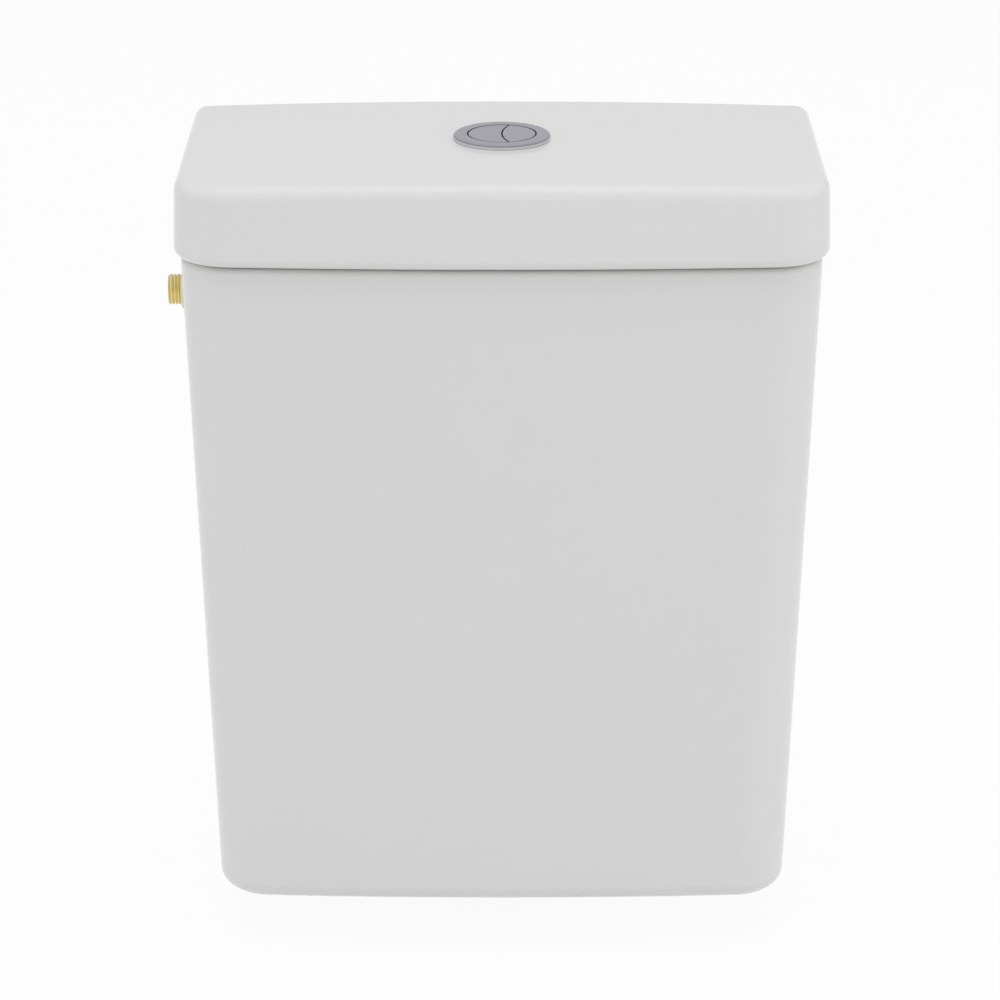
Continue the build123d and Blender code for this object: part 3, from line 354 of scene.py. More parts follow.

# %% [markdown]
# The push plate is plated plastic. Its top is blasted to a satin grey. The foot of the bezel's edge carries a
# painted highlight, above it runs a painted dark band, and the gap between the buttons and the bezel is painted
# black as painted shade. That shade reaches a little deeper on the bezel than on the buttons, which makes the
# gap fainter at the back. One material does all of this: height and distance from the axis choose.

# %% Satin chrome
satin = (0.425, 0.425, 0.468)
# Painted light: the darker band above the foot, the highlight at the foot and the shade in the gap.
shaded = (0.215, 0.218, 0.240)
painted_highlight = (0.63, 0.63, 0.64)
painted_gap_shade = (0.006, 0.006, 0.007)
lid_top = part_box("button_washer")[0].z
button_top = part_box("full_flush_button")[1].z
bezel_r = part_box("button_bezel")[1].x
button_r = -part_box("full_flush_button")[0].x
# How high the painted highlight and the painted dark band reach above the lid.
highlight_height = 1.5 * mm
dark_band_height = 2.1 * mm
band = 0.5 * mm
gap_width = 0.9 * mm
# How far below the buttons' top the painted shade in the gap begins, on the bezel and on the buttons.
bezel_shade_depth = 0.26 * mm
button_shade_depth = 0.07 * mm


def satin_chrome(name, shaded_within, shaded_below):
    """Satin chrome with a painted highlight at its foot, a painted dark band above it, and painted shade within a
    radius and under a height.
    """
    finish = Finish(name, metallic=1.0)
    x, y, z = finish.axes()
    reach = (x * x + y * y).math("SQRT")
    outside = reach.step(shaded_within, 0.2 * mm)
    # 1 where the chrome shows, 0 where the gap is painted black as painted shade.
    outside_gap_shade = (outside + z.step(shaded_below, 0.12 * mm)).math("MINIMUM", 1)
    side = reach.step(bezel_r - band, band)
    # A painted highlight at the foot of the bezel's edge, and a painted dark band above it.
    highlight_band = side * (1 - z.step(lid_top + highlight_height, band))
    dark_band = side * (1 - z.step(lid_top + dark_band_height, band))
    grain = finish.noise(0.25 * mm, 2.0)
    smudge = finish.noise(14 * mm, 2.0)
    tone = finish.mix(highlight_band, finish.mix(dark_band * 0.75, satin, shaded), painted_highlight)
    finish.set(base_color=finish.mix(outside_gap_shade, painted_gap_shade, tone), metallic=outside_gap_shade)
    finish.set(roughness=0.36 + smudge * 0.06 - highlight_band * 0.22)
    finish.bump(grain * (1 - highlight_band), 0.012 * mm)
    return finish.material


paint(satin_chrome("bezel_chrome", button_r + gap_width, button_top - bezel_shade_depth), "button_bezel")
paint(
    satin_chrome("button_chrome", bezel_r, button_top - button_shade_depth), "full_flush_button", "half_flush_button",
)
print("bezel radius", round(bezel_r, 4), "button radius", round(button_r, 4))

# %% [markdown]
# The rest is hidden until the lid comes off. Most of it is moulded plastic in white, grey and blue, with a fine
# even grain from the mould and a slight unevenness of gloss. One flat colour would do for each, but leaves wide
# faces lifeless, so a soft cloud of noise darkens it a little in places.

# %% Moulded plastic
shade = 0.90


def moulded(name, colour, roughness):
    """Moulded plastic with a fine grain."""
    finish = Finish(name)
    cloud = finish.noise(30 * mm, 2.0)
    grain = finish.noise(0.5 * mm, 2.0)
    dark = [channel * shade for channel in colour]
    finish.set(base_color=finish.mix(cloud, dark, colour))
    finish.set(roughness=roughness + grain * 0.08 + cloud * 0.06)
    finish.bump(grain, 0.02 * mm)
    return finish.material


white_plastic = moulded("white_plastic", (0.80, 0.81, 0.82), 0.30)
grey_plastic = moulded("grey_plastic", (0.40, 0.42, 0.45), 0.34)
blue_plastic = moulded("blue_plastic", (0.035, 0.14, 0.42), 0.30)
print("three plastics, in places darkened to", shade)

# %% [markdown]
# Seals, washers and pads are black or red rubber. It is matt, and dust lightens it in patches. The patches are
# the same noise as elsewhere, but a soft step cuts off its lower part, so that clean rubber stays between them.

# %% Rubber
def rubber(name, colour, dust):
    """Rubber with a little dust on it."""
    finish = Finish(name)
    patch = finish.noise(9 * mm, 4.0).step(0.56, 0.3)
    grain = finish.noise(0.8 * mm, 3.0)
    finish.set(base_color=finish.mix(patch * 0.5, colour, dust))
    finish.set(roughness=0.62 + patch * 0.16)
    finish.bump(grain, 0.05 * mm)
    return finish.material


black_rubber = rubber("black_rubber", (0.022, 0.022, 0.024), (0.11, 0.105, 0.10))
red_rubber = rubber("red_rubber", (0.36, 0.045, 0.035), (0.40, 0.14, 0.11))
print("two rubbers")

# %% [markdown]
# Bolts, nuts, washers and pins are zinc-plated steel, and the springs are bare spring steel. Zinc is blotchy,
# because its crystals differ. A cell pattern would outline each crystal, as on a bucket, but on such small parts
# they are too fine for that, and noise between two tones comes closer.

# %% Steel
def plated(name, colour, tint, roughness):
    """Plated or bare metal with crystals of slightly different tone."""
    finish = Finish(name, metallic=1.0)
    crystal = finish.noise(2.5 * mm, 3.0)
    scratch = finish.noise(0.35 * mm, 2.0)
    finish.set(base_color=finish.mix(crystal, colour, tint))
    finish.set(roughness=roughness + crystal * 0.14)
    finish.bump(scratch, 0.008 * mm)
    return finish.material


steel = plated("zinc_steel", (0.60, 0.60, 0.61), (0.52, 0.51, 0.47), 0.24)
spring_steel = plated("spring_steel", (0.62, 0.62, 0.63), (0.50, 0.50, 0.51), 0.16)
print("two steels")

# %% [markdown]
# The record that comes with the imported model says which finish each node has. Naming the nodes here would work
# too, but one of them could be forgotten. China and chrome are painted already, and brass has its own cell below.

# %% Paint the hidden parts
material_of_slot = {
    "white_plastic": white_plastic,
    "grey_plastic": grey_plastic,
    "blue_plastic": blue_plastic,
    "black_rubber": black_rubber,
    "red_rubber": red_rubber,
    "steel": steel,
}
for part in frame["record"]["subparts"]:
    if part["material_slot"] in material_of_slot:
        paint(material_of_slot[part["material_slot"]], part["node"])
paint(spring_steel, "full_button_spring", "half_button_spring")

# %% [markdown]
# Threads, ribs, slots and springs repeat one shape by a rule, so Geometry Nodes make them. A loop in Python could
# place the same points, but a tree keeps the sizes as named inputs that can be changed afterwards. The export
# drops instances, so each tree ends by making its copies real and giving them their material.

# %% Start and end of a tree
def new_tree(name, inputs):
    """A Geometry Nodes tree with named inputs, its input node and its output node."""
    tree = bpy.data.node_groups.new(name, "GeometryNodeTree")
    tree.interface.new_socket("Geometry", in_out="INPUT", socket_type="NodeSocketGeometry")
    for socket_name, kind in inputs.items():
        tree.interface.new_socket(socket_name, in_out="INPUT", socket_type="NodeSocket" + kind)
    tree.interface.new_socket("Geometry", in_out="OUTPUT", socket_type="NodeSocketGeometry")
    return tree, tree.nodes.new("NodeGroupInput"), tree.nodes.new("NodeGroupOutput")


def finish_tree(tree, geometry, material, group_out):
    """Ends a tree as the export needs it: real meshes that carry their material."""
    real = add(tree, "GeometryNodeRealizeInstances", n0=geometry)
    painted = add(tree, "GeometryNodeSetMaterial", n0=real.outputs[0], material=material)
    tree.links.new(painted.outputs[0], group_out.inputs[0])


print("trees can be made")

# %% [markdown]
# A screw thread is a helix: going once round it, the ridge climbs by one pitch. The usual way to draw it is to
# sweep a triangle along a spiral, which leaves a seam at each end. This tree starts from a plain open tube and
# moves each point in or out by how far it is round and along, so that the tube stays closed round its axis and
# its two end rings stay true circles that turned pieces can join.

# %% Thread tree
thread_tree, thread_in, thread_out = new_tree("screw_thread", {
    "radius": "Float", "depth": "Float", "pitch": "Float", "length": "Float",
    "lead": "Float", "sides": "Int", "rings": "Int", "material": "Material",
})
flank = 1.5  # how steep the ridge's sides are: at 1 its crest and root would be sharp
radius, depth, pitch, length, lead = [Value(thread_tree, socket) for socket in thread_in.outputs[1:6]]
tube = add(
    thread_tree, "GeometryNodeMeshCylinder", {"fill_type": "NONE"},
    vertices=thread_in.outputs["sides"], side_segments=thread_in.outputs["rings"], radius=1.0, depth=length,
)
where = add(thread_tree, "GeometryNodeInputPosition")
split = add(thread_tree, "ShaderNodeSeparateXYZ", n0=where.outputs[0])
across, deep, along = [Value(thread_tree, socket) for socket in split.outputs]
round_it = deep.math("ARCTAN2", across) / tau
ends = (length / 2 - along.math("ABSOLUTE")) / lead
ridge = (along / pitch - round_it).math("FRACT")
ridge = 1 - (ridge * 2 - 1).math("ABSOLUTE")
ridge = (ridge * flank - (flank - 1) / 2).math("MAXIMUM", 0).math("MINIMUM", 1)
drop = (1 - ridge.math("MINIMUM", ends.math("MAXIMUM", 0))) * depth
reach = radius - drop
point = add(thread_tree, "ShaderNodeCombineXYZ", n0=across * reach, n1=deep * reach, n2=along)
cut = add(thread_tree, "GeometryNodeSetPosition", n0=tube.outputs[0], position=point.outputs[0])
finish_tree(thread_tree, cut.outputs[0], thread_in.outputs["material"], thread_out)
print("thread tree has", len(thread_tree.nodes), "nodes")

# %% [markdown]
# Ribs, grips and slots go round an axis in even steps. Their tree takes one of them as its geometry and puts
# turned copies round Z. An Array modifier could do it too, but needs an empty as its pivot, and it would leave
# the first angle to the mesh. Here the count, the first angle and the step are inputs.

# %% Ring tree
ring_tree, ring_in, ring_out = new_tree("ring", {
    "count": "Int", "first": "Float", "step": "Float", "material": "Material",
})
spots = add(
    ring_tree, "GeometryNodeMeshLine",
    count=ring_in.outputs["count"], start_location=(0, 0, 0), offset=(0, 0, 0),
)
which = Value(ring_tree, add(ring_tree, "GeometryNodeInputIndex").outputs[0])
angle = which * Value(ring_tree, ring_in.outputs["step"]) + Value(ring_tree, ring_in.outputs["first"])
turn = add(ring_tree, "ShaderNodeCombineXYZ", n2=angle)
copies = add(
    ring_tree, "GeometryNodeInstanceOnPoints",
    points=spots.outputs[0], instance=ring_in.outputs[0], rotation=turn.outputs[0],
)
finish_tree(ring_tree, copies.outputs[0], ring_in.outputs["material"], ring_out)
print("ring tree has", len(ring_tree.nodes), "nodes")

# %% [markdown]
# A tree works through a modifier on an object. The object is only needed while it runs: its result is read off
# as a plain mesh, and the object goes. Each input is set by its identifier, because names aren't kept unique.

# %% Run a tree
def grow(tree, start=None, **inputs):
    """Runs a Geometry Nodes tree on a mesh, or on an empty one, and returns what it makes as a mesh."""
    host = bpy.data.objects.new("host", start or bpy.data.meshes.new("host"))
    scene.collection.objects.link(host)
    modifier = host.modifiers.new("tree", "NODES")
    modifier.node_group = tree
    for item in tree.interface.items_tree:
        if item.in_out == "INPUT" and item.name in inputs:
            modifier[item.identifier] = inputs[item.name]
    depsgraph = bpy.context.evaluated_depsgraph_get()
    mesh = bpy.data.meshes.new_from_object(host.evaluated_get(depsgraph))
    bpy.data.objects.remove(host)
    return mesh


print("trees ready:", [tree.name for tree in bpy.data.node_groups])

# %% [markdown]
# Most of the made pieces are round, so they are turned from a profile, as on a lathe. The spin operator would do
# it too, but leaves its first and last edge side by side, so here the faces are joined point by point.

# %% Turned shapes
def mesh_of(shape, name):
    """Turns a bmesh into a mesh and frees it."""
    mesh = bpy.data.meshes.new(name)
    shape.to_mesh(mesh)
    shape.free()
    return mesh


def turned(points, sides):
    """A mesh turned about Z from (height, radius) points. A radius of 0 makes a pole."""
    shape = bmesh.new()
    closed = points[0] == points[-1]
    rings = []
    angles = [tau * k / sides for k in range(sides)]
    for z, r in points[:-1] if closed else points:
        rings.append([shape.verts.new((r * cos(a), r * sin(a), z)) for a in (angles if r else angles[:1])])
    for low, high in zip(rings, rings[1:] + rings[:1] if closed else rings[1:]):
        for k in range(sides):
            corners = [low[k % len(low)], low[k - 1 if len(low) > 1 else 0]]
            corners += [high[k - 1 if len(high) > 1 else 0], high[k % len(high)]]
            shape.faces.new(list(dict.fromkeys(corners)))
    return mesh_of(shape, "turned")


def moved(mesh, x=0, y=0, z=0):
    """The mesh, shifted."""
    mesh.transform(Matrix.Translation((x, y, z)))
    return mesh


print("shapes can be turned")

# %% [markdown]
# Each made piece ends the same way: its parts are welded, its faces are turned outwards, and it gets a
# material and a body to ride on. A piece that takes the place of a CAD node names it, and the node is then
# hidden but still collides.

# %% Finished pieces
sharp_angle = radians(35)


def piece(name, meshes, material, body="root", replaced=(), turn=None, weld=0.01 * mm):
    """Joins meshes into one finished piece. turn is a matrix that puts it in its place."""
    shape = bmesh.new()
    for mesh in meshes:
        shape.from_mesh(mesh)
    if turn is not None:
        shape.transform(turn)
    bmesh.ops.remove_doubles(shape, verts=shape.verts, dist=weld)
    bmesh.ops.recalc_face_normals(shape, faces=shape.faces)
    mesh = mesh_of(shape, name)
    mesh.materials.clear()
    mesh.materials.append(material)
    mesh.polygons.foreach_set("material_index", [0] * len(mesh.polygons))
    mesh.shade_smooth()
    mesh.set_sharp_from_angle(angle=sharp_angle)
    obj = bpy.data.objects.new(name, mesh)
    scene.collection.objects.link(obj)
    if replaced:
        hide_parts(*replaced)
    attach(obj, body)
    print(name, len(mesh.polygons), "faces on", body)
    return obj


print("edges over", round(sharp_angle, 2), "radians stay sharp")

# %% [markdown]
# The inlet tail is bare brass. Fresh brass is a pale yellow, and here it is made a little darker in the roots of
# the thread. Darkening in grooves is often taken from the ambient occlusion of the mesh, which costs many rays.
# On a round piece the distance from its axis tells a root from a crest just as well.

# %% Brass
fresh_brass = (0.98, 0.86, 0.45)
tarnished_brass = (0.90, 0.76, 0.35)
# A darker brass for the roots of the thread.
root_brass = (0.50, 0.39, 0.15)
inlet_low, inlet_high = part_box("inlet_tail")
inlet_z = (inlet_low.z + inlet_high.z) / 2
thread_r = 8.331 * mm
thread_depth = 0.70 * mm

brass_finish = Finish("bright_brass", metallic=1.0)
brass_y, brass_z = brass_finish.axes()[1:]
rise = brass_z - inlet_z
from_axis = (brass_y * brass_y + rise * rise).math("SQRT")
root = 1 - from_axis.step(thread_r - 0.6 * thread_depth, 0.4 * mm)
tarnish = brass_finish.noise(5 * mm, 3.0)
brass_colour = brass_finish.mix(tarnish, fresh_brass, tarnished_brass)
brass_finish.set(base_color=brass_finish.mix(root * 0.35, brass_colour, root_brass))
brass_finish.set(roughness=0.18 + tarnish * 0.10 + root * 0.12)
brass = brass_finish.material
print("brass is darker within", round(thread_r - 0.6 * thread_depth, 5), "of the axis")

# %% [markdown]
# The tail is turned from bar. Its free thread shows beside the tank, with a small undercut where the thread runs
# out at the nut. Rings instead of a helix would look much the same from the front, but not from the side. The
# thread is grown by the tree, the rest is turned with as many sides, and both are welded to one closed skin.

# %% Brass tail
tail_sides = 96
thread_pitch = 1.87 * mm
undercut = 0.6 * mm
end_x = inlet_low.x
nut_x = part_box("inlet_nut")[0].x
free_length = nut_x - end_x - undercut
bore_r = 5.5 * mm
flange_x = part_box("inlet_washer")[1].x
body_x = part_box("fill_valve_body")[0].x
flange_r = inlet_high.z - inlet_z
spigot_r = 9.0 * mm
edge = 0.3 * mm
thread_mesh = moved(grow(
    thread_tree, radius=thread_r, depth=thread_depth, pitch=thread_pitch, length=free_length,
    lead=0.7 * mm, sides=tail_sides, rings=64, material=brass,
), z=end_x + free_length / 2)
root_r = thread_r - thread_depth
tail_profile = [
    (end_x + free_length, root_r),
    (nut_x, root_r),
    (nut_x, thread_r),
    (flange_x, thread_r),
    (flange_x, flange_r - edge),
    (flange_x + edge, flange_r),
    (body_x - edge, flange_r),
    (body_x, flange_r - edge),
    (body_x, spigot_r),
    (inlet_high.x, spigot_r),
    (inlet_high.x, bore_r),
    (end_x + edge, bore_r),
    (end_x, bore_r + edge),
    (end_x, root_r),
]
along_x = Matrix.Translation((0, 0, inlet_z)) @ Matrix.Rotation(pi / 2, 4, "Y")
piece(
    "brass_tail", [thread_mesh, turned(tail_profile, tail_sides)], brass, replaced=["inlet_tail"],
    turn=along_x,
)
print("inlet thread", round(free_length / thread_pitch, 2), "turns")

# %% [markdown]
# A rib is a small block whose sides slope, as a mould needs them to let the piece go. A scaled cube has upright
# sides and would have to be edited, so the eight corners are placed one by one, the crest smaller than the root.

# %% Moulded ribs
def rib(inner, outer, low, high, width, slope):
    """A small rib that stands out along X from radius inner to outer, narrower at its crest."""
    shape = bmesh.new()
    corners = []
    for x, half, cut in ((inner, width / 2, 0), (outer, width / 2 - slope, slope)):
        corners += [shape.verts.new((x, side * half, z)) for side, z in (
            (-1, low + cut), (1, low + cut), (1, high - cut), (-1, high - cut))]
    shape.faces.new(corners[:4][::-1])
    shape.faces.new(corners[4:])
    for k in range(4):
        shape.faces.new((corners[k], corners[(k + 1) % 4], corners[(k + 1) % 4 + 4], corners[k + 4]))
    return mesh_of(shape, "rib")


print("ribs can be moulded")

# %% [markdown]
# In the tail's bore sits a strainer: a cup whose wall is a row of slots, so that grit stays out of the valve.
# A boolean could cut the slots out of a plain cup, but may leave slivers. Here the bars between the slots are
# copies of one rib, and plain rings hold them at both ends and in the middle.

# %% Strainer
strainer_low, strainer_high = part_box("inlet_filter")
strainer_r = strainer_high.z - inlet_z
bar_depth = 0.8 * mm
bar_width = 0.7 * mm
bar_slope = 0.1 * mm
slot_count = 22
ring_width = 1.2 * mm
small_sides = 48
strainer_length = strainer_high.x - strainer_low.x


def ring(low, high, outer, inner):
    """A closed plain ring about Z."""
    return turned([(low, inner), (low, outer), (high, outer), (high, inner), (low, inner)], small_sides)


bars = grow(
    ring_tree, rib(strainer_r - bar_depth, strainer_r, 0, strainer_length, bar_width, bar_slope),
    count=slot_count, first=0.0, step=tau / slot_count, material=grey_plastic,
)
strainer = [bars] + [
    ring(low, low + ring_width, strainer_r, strainer_r - bar_depth)
    for low in (0, (strainer_length - ring_width) / 2, strainer_length - ring_width)
]
cup_r = strainer_r - 0.1 * mm
cup_floor = strainer_length - bar_depth
strainer.append(turned(
    [(cup_floor, 0), (cup_floor, cup_r), (strainer_length, cup_r), (strainer_length, 0)], small_sides))
strainer_place = Matrix.Translation((strainer_low.x, 0, 0)) @ along_x
piece("strainer", strainer, grey_plastic, replaced=["inlet_filter"], turn=strainer_place, weld=0)

# %% [markdown]
# Under the tank hangs the valve's threaded tail, with a smooth spigot at its end. The thread could be a bump in
# the material, but its outline shows from the side, so it is the same tree as before with other sizes. Plastic
# threads are coarse and blunt.

# %% Outlet tail
outlet_sides = 144
base_low, base_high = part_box("valve_base")
gasket_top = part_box("base_gasket")[1].z
tail_r = 30.0 * mm
tail_bore = 25.0 * mm
tail_end = -13.0 * mm
spigot = tail_r - 1.0 * mm
seat_foot = base_high.z - 4.0 * mm
seat_r = 27.5 * mm
outlet_depth = 1.1 * mm
outlet_pitch = 3.0 * mm
outlet_length = gasket_top - 3.0 * mm - tail_end
outlet_root = tail_r - outlet_depth
outlet_thread = moved(grow(
    thread_tree, radius=tail_r, depth=outlet_depth, pitch=outlet_pitch, length=outlet_length,
    lead=1.5 * mm, sides=outlet_sides, rings=96, material=white_plastic,
), z=tail_end + outlet_length / 2)
base_profile = [
    (tail_end + outlet_length, outlet_root),
    (gasket_top, outlet_root),
    (gasket_top, base_high.x - edge),
    (gasket_top + edge, base_high.x),
    (seat_foot - edge, base_high.x),
    (seat_foot, base_high.x - edge),
    (seat_foot, seat_r),
    (base_high.z - edge, seat_r),
    (base_high.z, seat_r - edge),
    (base_high.z, tail_bore + edge),
    (base_high.z - edge, tail_bore),
    (base_low.z + edge, tail_bore),
    (base_low.z, tail_bore + edge),
    (base_low.z, spigot - edge),
    (base_low.z + edge, spigot),
    (tail_end, spigot),
    (tail_end, outlet_root),
]
piece(
    "outlet_tail", [outlet_thread, turned(base_profile, outlet_sides)], white_plastic,
    replaced=["valve_base"],
)

# %% [markdown]
# A bolt's head is a hexagon whose two ends are chamfered. A six-sided cylinder with a Bevel modifier would round
# its upright edges as well, which are sharp on a real bolt, so the head is built ring by ring.

# %% Bolt head
def prism(outline, low, high, chamfer):
    """A closed prism with chamfered ends round the Z axis, from the (x, y) corners of its outline."""
    shape = bmesh.new()
    reach = max(x for x, y in outline)
    rings = [
        [shape.verts.new((x * (1 - inset / reach), y * (1 - inset / reach), z)) for x, y in outline]
        for z, inset in ((low, chamfer), (low + chamfer, 0), (high - chamfer, 0), (high, chamfer))
    ]
    for lower, upper in zip(rings, rings[1:]):
        for k in range(len(outline)):
            shape.faces.new((lower[k - 1], lower[k], upper[k], upper[k - 1]))
    shape.faces.new(rings[0][::-1])
    shape.faces.new(rings[-1])
    return mesh_of(shape, "prism")


print("prisms can be made")

# %% [markdown]
# Two bolts hold the tank to the pan. Each is a hexagon head, a plain shank and a thread that ends in a small
# cone. The CAD bolt is plain, and a separate thread could be laid round it. But a bolt in one piece has no faces
# hidden inside it, so the dressed one takes its place.

# %% Bolts
bolt_low, bolt_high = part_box("coupling_bolts")
nut_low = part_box("bolt_nuts")[0].z
head_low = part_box("bolt_steel_washers")[1].z
bolt_x = 75.0 * mm
bolt_r = 4.0 * mm
shank_r = 3.6 * mm
bolt_depth = 0.55 * mm
bolt_pitch = 1.25 * mm
cone = 0.8 * mm
head_width = 13.0 * mm
head_r = head_width / sqrt(3)
bolt_root = bolt_r - bolt_depth
bolt_thread_length = nut_low - bolt_low.z - cone
hexagon = [(head_r * cos(pi * k / 3), head_r * sin(pi * k / 3)) for k in range(6)]
bolt_parts = []
for x in (-bolt_x, bolt_x):
    bolt_parts.append(moved(grow(
        thread_tree, radius=bolt_r, depth=bolt_depth, pitch=bolt_pitch, length=bolt_thread_length,
        lead=0.6 * mm, sides=small_sides, rings=140, material=steel,
    ), x, 0, nut_low - bolt_thread_length / 2))
    bolt_parts.append(moved(turned([
        (nut_low, bolt_root), (nut_low, shank_r), (head_low, shank_r), (head_low, 0)], small_sides), x))
    bolt_parts.append(moved(turned([
        (bolt_low.z, 0), (bolt_low.z, bolt_root - 0.5 * mm), (bolt_low.z + cone, bolt_root)], small_sides), x))
    bolt_parts.append(moved(prism(hexagon, head_low, bolt_high.z, 0.5 * mm), x))
piece("pan_bolts", bolt_parts, steel, replaced=["coupling_bolts"])

# %% [markdown]
# The rubber ring that seals the tank to the pan is moulded with rounded lips and two shallow grooves, which
# squash when the bolts are pulled up. Its whole outline is drawn as points and turned once round, which gives
# the grooves no seam. A plain ring with a bevel would round the lips but couldn't cut the grooves.

# %% Coupling ring
ring_low, ring_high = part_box("coupling_gasket")
ring_inner = 30.35 * mm
ring_outer = ring_high.x
middle = (ring_low.z + ring_high.z) / 2
half = (ring_high.z - ring_low.z) / 2
lip = 2.2 * mm
lip_steps = 6
groove = 0.9 * mm
groove_steps = 12
grooved_share = 0.55
ring_sides = 128


def corner(height, radius, first):
    """Points of a quarter round of the ring's lip."""
    turns = [radians(first + 90 * k / lip_steps) for k in range(lip_steps + 1)]
    return [(height + lip * sin(a), radius + lip * cos(a)) for a in turns]


wave = [
    (middle + half * grooved_share * share, ring_outer - groove * (1 - abs(share * 2 - (1 if share > 0 else -1))))
    for share in [k / groove_steps for k in range(-groove_steps, groove_steps + 1) if k]
]
ring_profile = (
    corner(middle - half + lip, ring_inner + lip, 180)
    + corner(middle - half + lip, ring_outer - lip, 270)
    + wave
    + corner(middle + half - lip, ring_outer - lip, 0)
    + corner(middle + half - lip, ring_inner + lip, 90)
)
ring_profile.append(ring_profile[0])
piece(
    "coupling_ring", [turned(ring_profile, ring_sides)], black_rubber,
    replaced=["coupling_gasket"],
)

# %% [markdown]
# A spring has a round wire, and its end turns lie closed so that it stands square in its pocket. The tree draws
# a flat spiral and lifts each point by how many turns it has run: a wire's thickness for the first and the last
# turn, and the free pitch between. A Screw modifier would give one even pitch only.

# %% Spring tree
wire_sides = 10
spring_tree, spring_in, spring_out = new_tree("spring", {
    "radius": "Float", "wire": "Float", "height": "Float", "free_turns": "Float", "steps": "Int",
    "material": "Material",
})
wire = Value(spring_tree, spring_in.outputs["wire"])
free_turns = Value(spring_tree, spring_in.outputs["free_turns"])
all_turns = free_turns + 2
spiral = add(
    spring_tree, "GeometryNodeCurveSpiral",
    resolution=spring_in.outputs["steps"], rotations=all_turns,
    start_radius=spring_in.outputs["radius"], end_radius=spring_in.outputs["radius"], height=0.0,
)
turns_run = Value(spring_tree, add(spring_tree, "GeometryNodeSplineParameter").outputs["Factor"]) * all_turns
free_pitch = (Value(spring_tree, spring_in.outputs["height"]) - wire * 3) / free_turns
free_run = (turns_run - 1).math("MAXIMUM", 0).math("MINIMUM", free_turns)
lift = add(spring_tree, "ShaderNodeCombineXYZ", n2=(turns_run - free_run) * wire + free_run * free_pitch)
lifted = add(spring_tree, "GeometryNodeSetPosition", n0=spiral.outputs[0], offset=lift.outputs[0])
section = add(spring_tree, "GeometryNodeCurvePrimitiveCircle", resolution=wire_sides, radius=wire / 2)
wound = add(
    spring_tree, "GeometryNodeCurveToMesh",
    n0=lifted.outputs[0], profile_curve=section.outputs[0], fill_caps=True,
)
finish_tree(spring_tree, wound.outputs[0], spring_in.outputs["material"], spring_out)
print("spring tree has", len(spring_tree.nodes), "nodes")

# %% [markdown]
# Each button stands on a spring. If the spring rode down with its button, its foot would go through the cup that
# it rests on. So it stays on the lid, with a mesh of its own.

# %% Springs
spring_wire = 0.8 * mm
free_turn_count = 5.0
steps_per_turn = 32
for side in ("full", "half"):
    spring_low, spring_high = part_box(f"{side}_button_spring")
    spring_r = (spring_high.x - spring_low.x - spring_wire) / 2
    spring_x, spring_y = (spring_high.x + spring_low.x) / 2, (spring_high.y + spring_low.y) / 2
    spring_height = spring_high.z - spring_low.z
    coil = moved(grow(
        spring_tree, radius=spring_r, wire=spring_wire, height=spring_height, free_turns=free_turn_count,
        steps=steps_per_turn, material=spring_steel,
    ), spring_x, spring_y, spring_low.z + spring_wire / 2)
    spring = piece(
        f"{side}_spring", [coil], spring_steel, "lid", replaced=[f"{side}_button_spring"], weld=0,
    )
    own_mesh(spring)

# %% [markdown]
# No moulded or turned edge is perfectly sharp, and a sharp one catches no light. The CAD pieces that need no
# other shape therefore get a small round on each edge. A copy of the node is merged, its flat faces are joined
# so that no line crosses them, and a bevel rounds what is left. Weighted normals keep the flat faces flat.

# %% Rounded edges
merge_distance = 0.002 * mm
flat_angle = radians(0.8)
edge_angle = radians(32)


def rounded(node, width):
    """Makes a copy of a CAD node with rounded edges, which takes the node's place."""
    shape = bmesh.new()
    shape.from_mesh(nodes[node].data)
    bmesh.ops.remove_doubles(shape, verts=shape.verts, dist=merge_distance)
    bmesh.ops.dissolve_limit(shape, angle_limit=flat_angle, verts=shape.verts, edges=shape.edges)
    mesh = mesh_of(shape, node)
    mesh.shade_smooth()
    host = bpy.data.objects.new("host", mesh)
    scene.collection.objects.link(host)
    bevel = host.modifiers.new("round", "BEVEL")
    bevel.width = width
    bevel.segments = 2
    bevel.limit_method = "ANGLE"
    bevel.angle_limit = edge_angle
    bevel.use_clamp_overlap = False
    even = host.modifiers.new("even", "WEIGHTED_NORMAL")
    even.weight = 100
    depsgraph = bpy.context.evaluated_depsgraph_get()
    finished = bpy.data.meshes.new_from_object(host.evaluated_get(depsgraph))
    bpy.data.objects.remove(host)
    slot = next(part["material_slot"] for part in frame["record"]["subparts"] if part["node"] == node)
    finished.materials.clear()
    finished.materials.append(material_of_slot[slot])
    obj = bpy.data.objects.new(f"{node}_rounded", finished)
    scene.collection.objects.link(obj)
    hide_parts(node)
    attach(obj, nodes[node]["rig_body"])


print("edges over", round(edge_angle, 2), "radians get a round")

# %% [markdown]
# A big moulding has a bigger round than a thin pressed washer. One width for all would be simpler, but would eat
# up the smallest pieces, so the widths are a table.

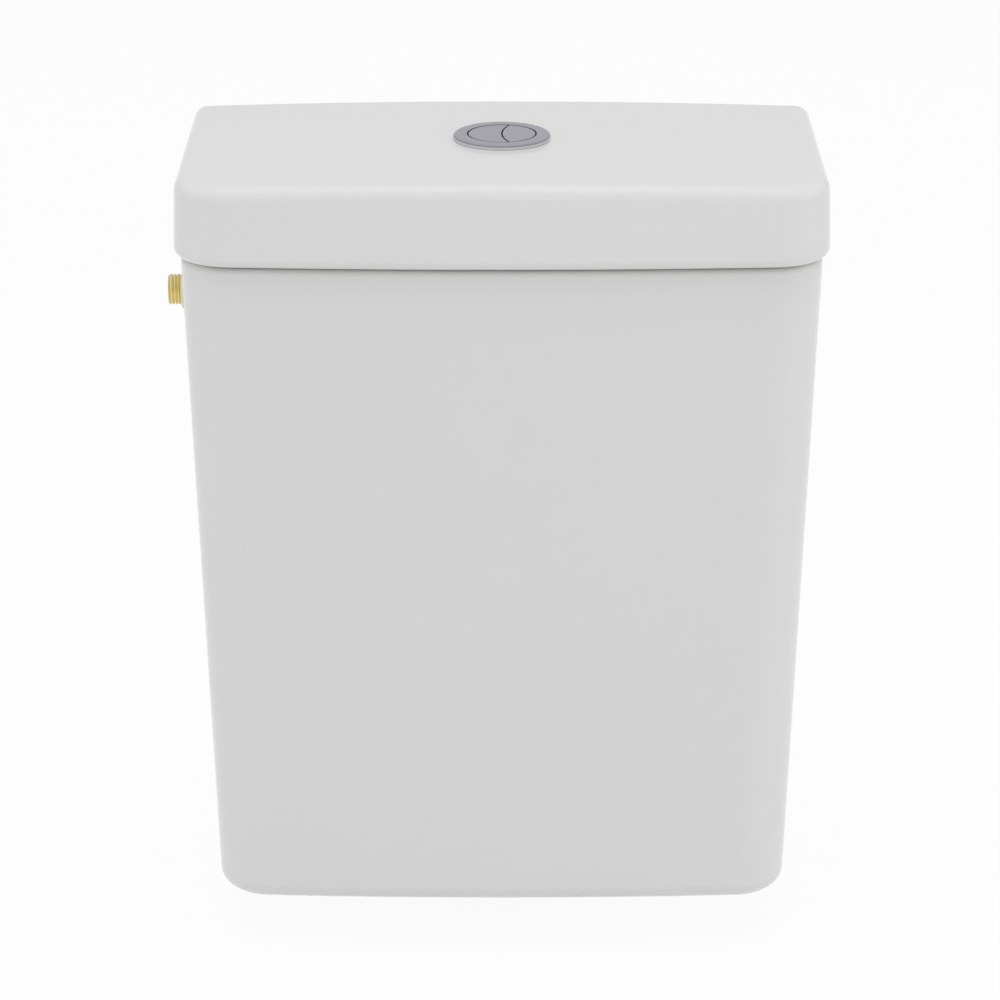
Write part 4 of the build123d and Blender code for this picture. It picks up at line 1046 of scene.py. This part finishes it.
# %% Which edges get which round
edge_rounds = {
    0.8 * mm: ["outlet_backnut", "base_gasket"],
    0.6 * mm: ["inlet_nut", "button_locknut", "seal_clamp", "bolt_rubber_washers", "flush_seal"],
    0.4 * mm: [
        "bolt_nuts", "float_cup", "float_adjuster", "float_rod", "overflow_tube", "silencer_tube",
        "button_carrier", "full_lift_rod", "half_lift_rod", "full_push_rod", "half_push_rod",
        "lift_collar", "lid_pads", "inlet_washer", "fill_diaphragm",
    ],
    0.3 * mm: ["full_rocker", "half_rocker", "valve_cage", "half_flush_float"],
    0.2 * mm: ["bolt_steel_washers", "rocker_pin", "arm_pin", "button_washer", "float_arm"],
}
for width, names in edge_rounds.items():
    for name in names:
        rounded(name, width)
    print(len(names), "pieces with edges rounded by", round(width * 1000, 2), "mm")

# %% [markdown]
# Plastic nuts and caps that are turned by hand have ribs to grip. A bump would show them on the face but not in
# the outline, so they are copies of one rib. Each set rides on the body of the piece that it belongs to. The
# nut's ribs stand in groups with bare gaps between, and the cap's leave its top free for the float arm.

# %% Grip ribs
def rib_row(name, node, one_rib, count, first, last, turn=None):
    """Puts copies of a rib round an axis, from the angle first to last in degrees, on a CAD node's body."""
    step = radians(last - first) / (count - 1)
    row = grow(ring_tree, one_rib, count=count, first=radians(first), step=step, material=grey_plastic)
    piece(name, [row], grey_plastic, nodes[node]["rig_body"], turn=turn, weld=0)


rib_root = 0.4 * mm
backnut_r = 40.0 * mm
nut_low_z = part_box("outlet_backnut")[0].z + 1.0 * mm
nut_high_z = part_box("outlet_backnut")[1].z - 1.0 * mm
groups = 8
ribs_in_group = 4
group_first, group_last = 13, 32
for group in range(groups):
    start = group * 360 / groups
    rib_row(
        f"backnut_ribs_{group}", "outlet_backnut",
        rib(backnut_r - rib_root, backnut_r + 0.9 * mm, nut_low_z, nut_high_z, 1.6 * mm, 0.2 * mm),
        ribs_in_group, start + group_first, start + group_last,
    )
cap_r = 16.5 * mm
cap_length = 14.0 * mm
cap_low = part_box("fill_diaphragm")[1].x + 1.2 * mm
cap_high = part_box("fill_diaphragm")[1].x + cap_length - 1.6 * mm
cap_ribs = 30
cap_reach = 128
rib_row(
    "cap_ribs", "fill_valve_cap",
    rib(cap_r - rib_root, cap_r + 0.6 * mm, cap_low, cap_high, 1.3 * mm, 0.18 * mm),
    cap_ribs, -cap_reach, cap_reach, turn=along_x,
)
